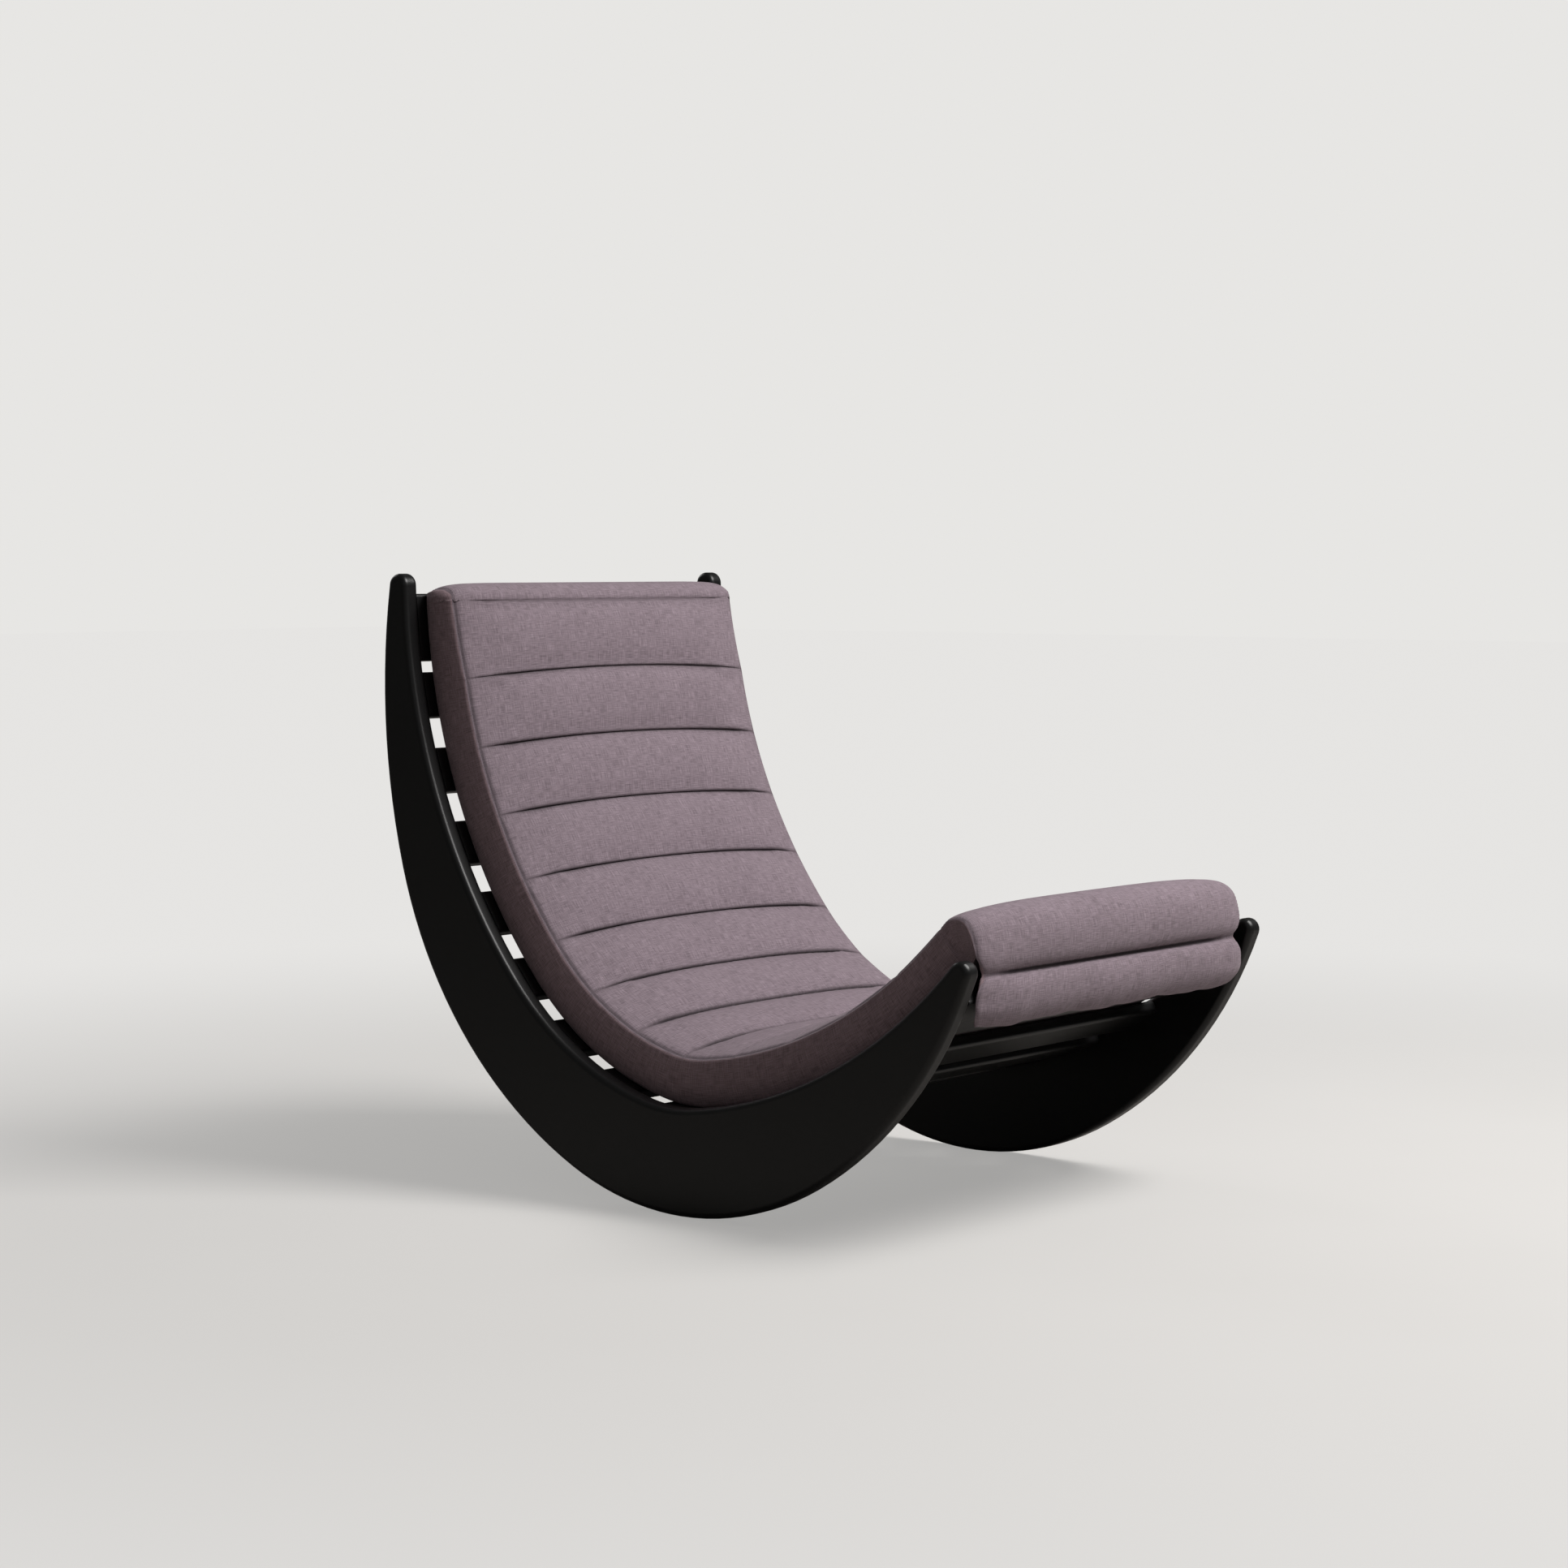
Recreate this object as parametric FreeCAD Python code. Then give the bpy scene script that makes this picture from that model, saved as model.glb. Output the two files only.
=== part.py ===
# Rocking chaise lounge: two crescent side boards joined by flat slats, with one
# long channel-quilted cushion that lies on the slats and folds down over the foot.
# Millimetres. +X is the width, -Y the foot end, +Y the head end, Z is up from the floor.
import FreeCAD
import Part
import math
import os

# Overall frame
OVERALL_WIDTH = 690.0
BOARD_THICKNESS = 28.0
BOARD_EDGE_ROUND = 8.0

# Lower (floor) edge of a side board: tangent arcs as (radius, degrees swept) from its lowest point
RUNNER_RADIUS = 438.5
RUNNER_LOW_Y = -34.2
RUNNER_HEAD_SWEEP_DEG = 26.1
RUNNER_FOOT_SWEEP_DEG = 30.0
BACK_RADIUS = 614.0
BACK_SWEEP_DEG = 48.6
HORN_RADIUS = 944.8
FOOT_RADIUS = 568.0

# Upper (concave) edge of a side board, which the slats and the cushion follow
SEAT_RADIUS = 233.6
SEAT_LOW_Y = -22.5
SEAT_LOW_Z = 143.0
SEAT_HEAD_SWEEP_DEG = 13.8
SEAT_FOOT_SWEEP_DEG = 7.3
LUMBAR_RADIUS = 443.5
LUMBAR_SWEEP_DEG = 35.7
SHOULDER_RADIUS = 857.1
LEG_RADIUS = 686.3

# Rounded ends of a side board
HEAD_TIP_RADIUS = 16.5
FOOT_TIP_RADIUS = 15.5

# Slats, spread evenly along the concave edge between the foot rail and the head rail
SLAT_COUNT = 12
SLAT_WIDTH = 65.0
SLAT_THICKNESS = 18.0
SLAT_EDGE_ROUND = 5.0
SLAT_SET_BACK = 3.0

# Head rail, the wide slat at the top
HEAD_RAIL_WIDTH = 95.0
HEAD_RAIL_TIP_SPACE = 11.4
HEAD_RAIL_SLAT_GAP = 14.7

# Steel foot rail under the fold of the cushion, which also weighs the foot end down
FOOT_RAIL_WIDTH = 44.0
FOOT_RAIL_DEPTH = 38.5
FOOT_RAIL_EDGE_ROUND = 3.0
FOOT_RAIL_TIP_SPACE = 25.6
FOOT_RAIL_SLAT_GAP = 1.0
FOOT_RAIL_SPIGOT_DIAMETER = 16.0

# Dowels, two in each end of every slat
DOWEL_DIAMETER = 8.0
DOWEL_IN_BOARD = 18.0
DOWEL_IN_SLAT = 24.0
DOWEL_END_SPACE = 1.0
DOWEL_SPACING = 32.0

# Cushion: clearances, bulge of the side band, and heights over the seat line
CUSHION_SLAT_GAP = 0.5
CUSHION_SIDE_GAP = 12.0
SIDE_BAND_THICKNESS = 4.0
SIDE_BAND_DRAW_IN = 6.0
PERIMETER_SEAM_HEIGHT = 60.0
PERIMETER_CREST = 2.0
SHOULDER_FROM_SEAM = 33.0
SHOULDER_SEAM_HEIGHT = 71.0
SHOULDER_CREST = 7.0
CROWN_FROM_SEAM = 171.0
CROWN_SEAM_HEIGHT = 75.0
CROWN_CREST = 10.0
ROUNDING_INSET_SHARE = 0.5

# Sewn channels across the cushion, one seam a little past the middle of each slat and one more
# on the roll at the foot
CHANNEL_SEAM_PAST_SLAT = 10.7

# Head end of the cushion, which ends level with the head rail
HEAD_END_REACH = 0.5
HEAD_SEAM_FROM_END = 15.0
HEAD_SEAM_DROP = 11.0
HEAD_CHANNEL_DROP = 3.7
HEAD_END_BULGE = 14.0

# Foot end: the upper roll, the crease and the flap that hangs in front of the foot rail
FLAP_RAIL_GAP = 2.0
FLAP_THICKNESS = 8.5
FLAP_END_OVER_RAIL = 7.0
FLAP_LOW_ROUND = 4.0
FLAP_LOW_RISE = 16.0
CREASE_BELOW_FOLD = 15.8
CREASE_DEPTH = 4.0
ROLL_BULGE = 6.0
ROLL_TOP_DEPTH = 32.0
ROLL_TOP_OVER_FOLD = 53.2
ROLL_CROWN_SHARE = 0.5
UPPER_ROLL_ROUND = 16.0
ROUND_BULGE_SHARE = 0.3

# Inside and under the cushion, with the zip in the middle of a gap between slats
BASE_PANEL_THICKNESS = 3.0
CORE_HEIGHT = 42.0
CORE_END_INSET = 10.0
CORE_FOOT_INSET = 12.0
CORE_NOSE_DROP = 16.0
ZIP_END_SPACE = 41.0
ZIP_WIDTH = 24.0
ZIP_GAP_NUMBER = 5
SLIDER_LENGTH = 14.0
SLIDER_WIDTH = 10.0
SLIDER_DROP = 3.0
SLIDER_EDGE_ROUND = 1.0
SLIDER_FROM_ZIP_END = 28.0

# A last arc of an edge runs on as far as it is asked for
TO_THE_TIP = 0.0

# Cutting blocks are longer than the lounge any way
CUTTER_SIZE = 3000.0
BASE_CUTTER_REACH = 15.0

# Points tried on each edge of a board to find how far it reaches
OUTLINE_SAMPLES = 400

V = FreeCAD.Vector
INNER_FACE_X = OVERALL_WIDTH / 2 - BOARD_THICKNESS
CUSHION_SEAM_X = INNER_FACE_X - CUSHION_SIDE_GAP - SIDE_BAND_THICKNESS
CUSHION_BASE_HEIGHT = CUSHION_SLAT_GAP - SLAT_SET_BACK
SHORTEST_ARC = 1.0
POINT_TOLERANCE = 0.001


def yz(y, z, x=0.0):
    return V(x, y, z)


class ArcChain:
    """Tangent arcs that rise both ways from a lowest point, in the side view.

    A place along it is a length from the lowest point, positive towards the head.
    Height is measured square to it, positive on the hollow side.
    """

    def __init__(self, low_y, low_z, head_arcs, foot_arcs):
        self.runs = {1: [], -1: []}
        for side, arcs in ((1, head_arcs), (-1, foot_arcs)):
            centre = yz(low_y, low_z + arcs[0][0])
            angle = 0.0
            length = 0.0
            for number, (radius, sweep) in enumerate(arcs):
                if number:
                    out = self.outward(side, angle)
                    centre = centre + out * (arcs[number - 1][0] - radius)
                self.runs[side].append((length, angle, radius, centre))
                length += radius * math.radians(sweep)
                angle += math.radians(sweep)

    @staticmethod
    def outward(side, angle):
        return yz(side * math.sin(angle), -math.cos(angle))

    def run_at(self, place):
        side = 1 if place >= 0 else -1
        runs = [run for run in self.runs[side] if run[0] <= abs(place) + 1e-9]
        return side, runs[-1]

    def angle(self, place):
        """Slope of the curve: 0 at the lowest point, positive towards the head."""
        side, (start, start_angle, radius, _) = self.run_at(place)
        return side * (start_angle + (abs(place) - start) / radius)

    def point(self, place, height=0.0):
        side, (_, _, radius, centre) = self.run_at(place)
        out = self.outward(side, abs(self.angle(place)))
        return centre + out * (radius - height)

    def edges(self, start, end, height):
        """Arcs at one height between two places, broken where the radius changes."""
        joints = [0.0]
        for side in (1, -1):
            joints += [side * run[0] for run in self.runs[side][1:]]
        low, high = min(start, end), max(start, end)
        stops = [low]
        stops += sorted(j for j in joints if low + SHORTEST_ARC < j < high - SHORTEST_ARC)
        stops.append(high)
        if start > end:
            stops.reverse()
        made = []
        for a, b in zip(stops, stops[1:]):
            middle = self.point((a + b) / 2, height)
            made.append(arc(self.point(a, height), middle, self.point(b, height)))
        return made

    def place_at_y(self, side, y, height):
        """The place on the last arc of one side where a height over it reaches y."""
        start, start_angle, radius, centre = self.runs[side][-1]
        angle = math.asin(side * (y - centre.y) / (radius - height))
        return side * (start + (angle - start_angle) * radius)

    def last(self, side):
        _, _, radius, centre = self.runs[side][-1]
        return centre, radius


def arc(start, middle, end):
    return Part.Arc(start, middle, end).toShape()


def bulged(start, end, bulge):
    """An arc from start to end that stands out by bulge to the left of the way."""
    chord = end - start
    left = yz(-chord.z, chord.y).normalize()
    return arc(start, (start + end) * 0.5 + left * bulge, end)


def line(start, end):
    return Part.LineSegment(start, end).toShape()


def circles_meet(centre_a, radius_a, centre_b, radius_b, towards):
    """The meeting point of two circles in the side view that lies further towards a direction."""
    gap = centre_b - centre_a
    along = (radius_a ** 2 - radius_b ** 2 + gap.Length ** 2) / (2 * gap.Length)
    across = math.sqrt(radius_a ** 2 - along ** 2)
    unit = V(gap).normalize()
    square = yz(-unit.z, unit.y)
    foot = centre_a + unit * along
    ends = [foot + square * across, foot - square * across]
    return max(ends, key=lambda p: p.dot(towards))


def prism(edges, x_from, x_to):
    face = Part.Face(Part.Wire(edges))
    face.translate(V(x_from, 0, 0))
    return face.extrude(V(x_to - x_from, 0, 0))


RUNNER = ArcChain(
    RUNNER_LOW_Y, 0.0,
    [(RUNNER_RADIUS, RUNNER_HEAD_SWEEP_DEG), (BACK_RADIUS, BACK_SWEEP_DEG), (HORN_RADIUS, TO_THE_TIP)],
    [(RUNNER_RADIUS, RUNNER_FOOT_SWEEP_DEG), (FOOT_RADIUS, TO_THE_TIP)])
SEAT = ArcChain(
    SEAT_LOW_Y, SEAT_LOW_Z,
    [(SEAT_RADIUS, SEAT_HEAD_SWEEP_DEG), (LUMBAR_RADIUS, LUMBAR_SWEEP_DEG), (SHOULDER_RADIUS, TO_THE_TIP)],
    [(SEAT_RADIUS, SEAT_FOOT_SWEEP_DEG), (LEG_RADIUS, TO_THE_TIP)])


def board_tip(side, radius, towards):
    """Tangent points and crown of the round end between the two edges of a board."""
    out_centre, out_radius = RUNNER.last(side)
    in_centre, in_radius = SEAT.last(side)
    centre = circles_meet(out_centre, out_radius - radius, in_centre, in_radius + radius, towards)
    on_runner = centre + (centre - out_centre).normalize() * radius
    on_seat = centre + (in_centre - centre).normalize() * radius
    crown = centre + ((on_runner - on_seat).cross(V(-side, 0, 0))).normalize() * radius
    return on_runner, crown, on_seat, centre


def place_of(chain, side, point):
    """The place along a chain's last arc that a point on it has."""
    start, start_angle, radius, centre = chain.runs[side][-1]
    ray = point - centre
    angle = math.atan2(side * ray.y, -ray.z)
    return side * (start + (angle - start_angle) * radius)


HEAD_TIP = board_tip(1, HEAD_TIP_RADIUS, yz(1, 0))
FOOT_TIP = board_tip(-1, FOOT_TIP_RADIUS, yz(-1, 0))
SEAT_HEAD_PLACE = place_of(SEAT, 1, HEAD_TIP[2])
SEAT_FOOT_PLACE = place_of(SEAT, -1, FOOT_TIP[2])


def tip_edges(start, crown, end, centre):
    """The round end of a board as two arcs, from one edge over the crown to the other."""
    radius = (crown - centre).Length
    first = centre + ((start + crown) * 0.5 - centre).normalize() * radius
    second = centre + ((crown + end) * 0.5 - centre).normalize() * radius
    return [arc(start, first, crown), arc(crown, second, end)]


def board_outline():
    head_runner, head_crown, head_seat, head_centre = HEAD_TIP
    foot_runner, foot_crown, foot_seat, foot_centre = FOOT_TIP
    runner_head = place_of(RUNNER, 1, head_runner)
    runner_foot = place_of(RUNNER, -1, foot_runner)
    edges = RUNNER.edges(runner_foot, runner_head, 0.0)
    edges += tip_edges(head_runner, head_crown, head_seat, head_centre)
    edges += SEAT.edges(SEAT_HEAD_PLACE, SEAT_FOOT_PLACE, 0.0)
    edges += tip_edges(foot_seat, foot_crown, foot_runner, foot_centre)
    return edges


# Middles of the cross pieces along the seat line, worked out from the ends of the boards
FOOT_RAIL_PLACE = SEAT_FOOT_PLACE + FOOT_RAIL_TIP_SPACE + FOOT_RAIL_WIDTH / 2
FIRST_SLAT_PLACE = FOOT_RAIL_PLACE + FOOT_RAIL_WIDTH / 2 + FOOT_RAIL_SLAT_GAP + SLAT_WIDTH / 2
HEAD_RAIL_END = SEAT_HEAD_PLACE - HEAD_RAIL_TIP_SPACE
HEAD_RAIL_PLACE = HEAD_RAIL_END - HEAD_RAIL_WIDTH / 2
LAST_SLAT_PLACE = HEAD_RAIL_END - HEAD_RAIL_WIDTH - HEAD_RAIL_SLAT_GAP - SLAT_WIDTH / 2
SLAT_PITCH = (LAST_SLAT_PLACE - FIRST_SLAT_PLACE) / (SLAT_COUNT - 1)


def slat_places():
    """Place and width of every slat from the foot, with the head rail last."""
    regular = [(FIRST_SLAT_PLACE + number * SLAT_PITCH, SLAT_WIDTH) for number in range(SLAT_COUNT)]
    return regular + [(HEAD_RAIL_PLACE, HEAD_RAIL_WIDTH)]


def edges_along_x(shape):
    return [e for e in shape.Edges if len(e.Vertexes) == 2 and (
        e.Vertexes[0].Point - e.Vertexes[1].Point).cross(V(1, 0, 0)).Length < POINT_TOLERANCE]


def edges_across_x(shape):
    return [e for e in shape.Edges
            if abs(e.Vertexes[0].X - e.Vertexes[-1].X) < POINT_TOLERANCE]


def laid_along(shape, place, height):
    """Turn a shape drawn on the Y axis to the slope of the seat line and move it there."""
    shape.rotate(V(0, 0, 0), V(1, 0, 0), math.degrees(SEAT.angle(place)))
    shape.translate(SEAT.point(place, height))
    return shape


def slat_blank(place, width):
    blank = Part.makeBox(2 * INNER_FACE_X, width, SLAT_THICKNESS,
                         V(-INNER_FACE_X, -width / 2, -SLAT_THICKNESS))
    blank = blank.makeFillet(SLAT_EDGE_ROUND, edges_along_x(blank))
    return laid_along(blank, place, -SLAT_SET_BACK)


def dowel_bars(place, side, in_board, in_slat):
    """The two round bars at one end of a slat, as long as asked for each way."""
    bars = []
    for offset in (-DOWEL_SPACING / 2, DOWEL_SPACING / 2):
        start = side * INNER_FACE_X - side * in_slat
        bar = Part.makeCylinder(DOWEL_DIAMETER / 2, in_slat + in_board,
                                V(start, offset, -SLAT_THICKNESS / 2), V(side, 0, 0))
        bars.append(laid_along(bar, place, -SLAT_SET_BACK))
    return bars


def foot_rail_spigot(side, length):
    """The round end of the foot rail that stands in a side board."""
    spigot = Part.makeCylinder(FOOT_RAIL_SPIGOT_DIAMETER / 2, length,
                               V(side * INNER_FACE_X, 0, -FOOT_RAIL_DEPTH / 2), V(side, 0, 0))
    return laid_along(spigot, FOOT_RAIL_PLACE, -SLAT_SET_BACK)


def foot_rail_bar():
    bar = Part.makeBox(2 * INNER_FACE_X, FOOT_RAIL_WIDTH, FOOT_RAIL_DEPTH,
                       V(-INNER_FACE_X, -FOOT_RAIL_WIDTH / 2, -FOOT_RAIL_DEPTH))
    bar = bar.makeFillet(FOOT_RAIL_EDGE_ROUND, edges_along_x(bar))
    return laid_along(bar, FOOT_RAIL_PLACE, -SLAT_SET_BACK)


def make_foot_rail():
    spigots = [foot_rail_spigot(side, DOWEL_IN_BOARD) for side in (-1, 1)]
    return foot_rail_bar().fuse(spigots).removeSplitter()


def make_board(side):
    x_from = INNER_FACE_X if side > 0 else -OVERALL_WIDTH / 2
    board = prism(board_outline(), x_from, x_from + BOARD_THICKNESS)
    board = board.makeFillet(BOARD_EDGE_ROUND, edges_across_x(board))
    holes = []
    for place, _ in slat_places():
        holes += dowel_bars(place, side, DOWEL_IN_BOARD + DOWEL_END_SPACE, 0.0)
    holes.append(foot_rail_spigot(side, DOWEL_IN_BOARD + DOWEL_END_SPACE))
    return board.cut(holes)


def make_slat(place, width):
    slat = slat_blank(place, width)
    holes = []
    for side in (-1, 1):
        holes += dowel_bars(place, side, 0.0, DOWEL_IN_SLAT + DOWEL_END_SPACE)
    return slat.cut(holes)


def make_dowels(side):
    dowels = []
    for place, _ in slat_places():
        dowels += dowel_bars(place, side, DOWEL_IN_BOARD, DOWEL_IN_SLAT)
    return Part.makeCompound(dowels)


# Ends of the cushion along the seat line
HEAD_END_PLACE = HEAD_RAIL_END + HEAD_END_REACH
HEAD_SEAM_PLACE = HEAD_END_PLACE - HEAD_SEAM_FROM_END
FOOT_RAIL_BOX = foot_rail_bar().BoundBox
FLAP_BACK_Y = FOOT_RAIL_BOX.YMin - FLAP_RAIL_GAP
FLAP_FRONT_Y = FLAP_BACK_Y - FLAP_THICKNESS
FLAP_LOW_Z = FOOT_RAIL_BOX.ZMin + FLAP_END_OVER_RAIL


def fold_place(height):
    """Where the base of the cushion turns down in front of the foot rail."""
    return SEAT.place_at_y(-1, FLAP_BACK_Y, height)


FOLD_Z = SEAT.point(fold_place(CUSHION_BASE_HEIGHT), CUSHION_BASE_HEIGHT).z


ZIP_PLACE = FIRST_SLAT_PLACE + (ZIP_GAP_NUMBER - 0.5) * SLAT_PITCH


def channel_seam_places():
    """Places of the sewn seams across the cushion, from one pitch past the foot to the head."""
    first = FIRST_SLAT_PLACE + CHANNEL_SEAM_PAST_SLAT
    return [first + number * SLAT_PITCH for number in range(-1, SLAT_COUNT)]


def cushion_profile(inset, seam_height, crest):
    """Closed side view of the cushion, drawn in all round by an inset."""
    base = CUSHION_BASE_HEIGHT + inset
    fold = fold_place(base)
    fold_top = SEAT.point(fold, base)
    head_back = SEAT.point(HEAD_END_PLACE - inset, base)
    head_seam = SEAT.point(HEAD_SEAM_PLACE - inset, seam_height - HEAD_SEAM_DROP)
    edges = SEAT.edges(HEAD_END_PLACE - inset, fold, base)

    # Flap, from the back of the fold round its lower end to the crease
    low = FLAP_LOW_Z + inset
    front = FLAP_FRONT_Y + inset
    turn = FLAP_LOW_ROUND - inset * ROUNDING_INSET_SHARE
    back_low = yz(fold_top.y, low + turn)
    under = yz(fold_top.y - turn, low)
    front_low = yz(front, low + FLAP_LOW_RISE)
    crease_depth = CREASE_DEPTH - inset * ROUNDING_INSET_SHARE
    crease = yz(front + crease_depth, FOLD_Z - CREASE_BELOW_FOLD)
    edges.append(line(fold_top, back_low))
    edges.append(bulged(back_low, under, ROUND_BULGE_SHARE * turn))
    edges.append(bulged(under, front_low, ROUND_BULGE_SHARE * turn))
    edges.append(bulged(front_low, crease, ROLL_BULGE))

    # Upper roll, up the front and over the end
    rise = (seam_height - PERIMETER_SEAM_HEIGHT) * ROLL_CROWN_SHARE
    roll_top = yz(front + ROLL_TOP_DEPTH, FOLD_Z + ROLL_TOP_OVER_FOLD - inset + rise)
    brow = yz(front, roll_top.z - UPPER_ROLL_ROUND)
    edges.append(bulged(crease, brow, ROLL_BULGE))
    edges.append(bulged(brow, roll_top, ROUND_BULGE_SHARE * UPPER_ROLL_ROUND))

    # Channels, from the foot to the head
    last_place, *seam_places = channel_seam_places()
    last = SEAT.point(last_place, seam_height)
    edges.append(bulged(roll_top, last, crest))
    for place in seam_places:
        seam = SEAT.point(place, seam_height)
        middle = SEAT.point((last_place + place) / 2, seam_height + crest)
        edges.append(arc(last, middle, seam))
        last = seam
        last_place = place
    head_middle = (last_place + HEAD_SEAM_PLACE) / 2
    middle = SEAT.point(head_middle, seam_height + crest - HEAD_CHANNEL_DROP)
    edges.append(arc(last, middle, head_seam))

    # Head end, rounded over to the back
    bulge = HEAD_END_BULGE - inset * ROUNDING_INSET_SHARE
    edges.append(bulged(head_seam, head_back, bulge))
    return Part.Wire(edges)


def cushion_stations():
    """Sections across the cushion: place on X, inset, seam height, crest over the seams."""
    band = CUSHION_SEAM_X + SIDE_BAND_THICKNESS
    side = [
        (band, SIDE_BAND_DRAW_IN, PERIMETER_SEAM_HEIGHT - SIDE_BAND_DRAW_IN, PERIMETER_CREST),
        (CUSHION_SEAM_X, 0.0, PERIMETER_SEAM_HEIGHT, PERIMETER_CREST),
        (CUSHION_SEAM_X - SHOULDER_FROM_SEAM, 0.0, SHOULDER_SEAM_HEIGHT, SHOULDER_CREST),
        (CUSHION_SEAM_X - CROWN_FROM_SEAM, 0.0, CROWN_SEAM_HEIGHT, CROWN_CREST),
    ]
    left = [(-x, inset, height, crest) for x, inset, height, crest in side]
    return left + side[::-1]


def cushion_body():
    wires = []
    for x, inset, height, crest in cushion_stations():
        wire = cushion_profile(inset, height, crest)
        wire.translate(V(x, 0, 0))
        wires.append(wire)
    return Part.makeLoft(wires, True, True)


def seat_strip(start, end, low, high, half_width):
    """A strip that follows the seat line between two places and two heights."""
    outline = SEAT.edges(start, end, high)
    outline.append(line(SEAT.point(end, high), SEAT.point(end, low)))
    outline += SEAT.edges(end, start, low)
    outline.append(line(SEAT.point(start, low), SEAT.point(start, high)))
    return prism(outline, -half_width, half_width)


def core_profile():
    """Closed side view of the foam slab, which ends above the fold."""
    base = CUSHION_BASE_HEIGHT + BASE_PANEL_THICKNESS
    foot = fold_place(CUSHION_BASE_HEIGHT) + CORE_FOOT_INSET
    head = HEAD_END_PLACE - CORE_END_INSET
    top_seam = channel_seam_places()[-1]
    head_front = SEAT.point(HEAD_SEAM_PLACE - CORE_END_INSET, CORE_HEIGHT - HEAD_SEAM_DROP)
    foot_top = SEAT.point(foot, CORE_HEIGHT)
    nose = yz(FLAP_FRONT_Y + CORE_FOOT_INSET, foot_top.z - CORE_NOSE_DROP)
    outline = SEAT.edges(head, foot, base)
    outline.append(line(SEAT.point(foot, base), nose))
    outline.append(line(nose, foot_top))
    outline += SEAT.edges(foot, top_seam, CORE_HEIGHT)
    outline.append(line(SEAT.point(top_seam, CORE_HEIGHT), head_front))
    outline.append(line(head_front, SEAT.point(head, base)))
    return outline


def base_zone(reach, half_width):
    """The space under the core, down to the fold, which the base panel fills."""
    base = CUSHION_BASE_HEIGHT
    high = base + BASE_PANEL_THICKNESS
    start = HEAD_END_PLACE - CORE_END_INSET
    end = fold_place(base)
    corner = SEAT.point(end, base)
    low_end = SEAT.place_at_y(-1, corner.y, base - reach)
    low_corner = SEAT.point(low_end, base - reach)
    outline = SEAT.edges(start, end, high)
    outline += [line(SEAT.point(end, high), corner), line(corner, low_corner)]
    outline += SEAT.edges(low_end, start, base - reach)
    outline.append(line(SEAT.point(start, base - reach), SEAT.point(start, high)))
    return prism(outline, -half_width, half_width)


def head_zone(reach, half_width):
    """The space past the head seam, which the head band fills."""
    base = CUSHION_BASE_HEIGHT
    core_back = HEAD_END_PLACE - CORE_END_INSET
    core_front = HEAD_SEAM_PLACE - CORE_END_INSET
    corners = [
        SEAT.point(HEAD_SEAM_PLACE, PERIMETER_SEAM_HEIGHT + reach),
        SEAT.point(HEAD_SEAM_PLACE, PERIMETER_SEAM_HEIGHT - HEAD_SEAM_DROP),
        SEAT.point(core_front, CORE_HEIGHT - HEAD_SEAM_DROP),
        SEAT.point(core_back, base + BASE_PANEL_THICKNESS),
        SEAT.point(core_back, base - reach),
        SEAT.point(HEAD_END_PLACE + reach, base - reach),
        SEAT.point(HEAD_END_PLACE + reach, PERIMETER_SEAM_HEIGHT + reach),
    ]
    sides = [line(a, b) for a, b in zip(corners, corners[1:] + corners[:1])]
    return prism(sides, -half_width, half_width)


def cushion_parts():
    body = cushion_body()
    half = CUSHION_SEAM_X
    reach = PERIMETER_SEAM_HEIGHT
    base = CUSHION_BASE_HEIGHT

    core = prism(core_profile(), -half, half)

    # The side bands lie outside the perimeter seams
    between = Part.makeBox(2 * half, CUTTER_SIZE, CUTTER_SIZE,
                           V(-half, -CUTTER_SIZE / 2, -CUTTER_SIZE / 2))
    bands = sorted(body.cut(between).Solids, key=lambda band: band.CenterOfMass.x)
    cover = body.common(between).cut(core)

    head = head_zone(reach, half + reach)
    strip = base_zone(BASE_CUTTER_REACH, half + reach)
    zip_half = half - ZIP_END_SPACE
    zip_tape = seat_strip(ZIP_PLACE + ZIP_WIDTH / 2, ZIP_PLACE - ZIP_WIDTH / 2,
                          base, base + BASE_PANEL_THICKNESS, zip_half)
    slider = Part.makeBox(SLIDER_LENGTH, SLIDER_WIDTH, SLIDER_DROP,
                          V(zip_half - SLIDER_FROM_ZIP_END, -SLIDER_WIDTH / 2, -SLIDER_DROP))
    slider = slider.makeFillet(SLIDER_EDGE_ROUND, slider.Edges)
    return {
        "foam_core": core,
        "quilted_top_panel": cover.cut(head).cut(strip),
        "head_band": cover.common(head),
        "side_band_left": bands[0],
        "side_band_right": bands[1],
        "base_panel": cover.common(strip).cut(zip_tape),
        "zip_tape": zip_tape,
        "zip_slider": laid_along(slider, ZIP_PLACE, base),
    }


def frame_parts():
    parts = {
        "side_board_left": make_board(-1),
        "side_board_right": make_board(1),
        "foot_rail": make_foot_rail(),
        "dowels_left": make_dowels(-1),
        "dowels_right": make_dowels(1),
    }
    places = slat_places()
    for number, (place, width) in enumerate(places[:-1], start=1):
        parts["slat_%02d" % number] = make_slat(place, width)
    parts["head_rail"] = make_slat(*places[-1])
    return parts


def main():
    os.makedirs("parts", exist_ok=True)
    frame = frame_parts()
    reach = [point.y for edge in board_outline() for point in edge.discretize(OUTLINE_SAMPLES)]
    shift = V(0, -(min(reach) + max(reach)) / 2, 0)
    parts = dict(frame)
    parts.update(cushion_parts())
    for name, shape in parts.items():
        shape.translate(shift)
        shape.exportStep("parts/%s.step" % name)
        box = shape.BoundBox
        print("%-20s solids %d  volume %9.0f  valid %s  y %.1f..%.1f  z %.1f..%.1f" % (
            name, len(shape.Solids), shape.Volume, shape.isValid(),
            box.YMin, box.YMax, box.ZMin, box.ZMax))
    print("shift", shift)


if __name__ == "__main__":
    main()
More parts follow.
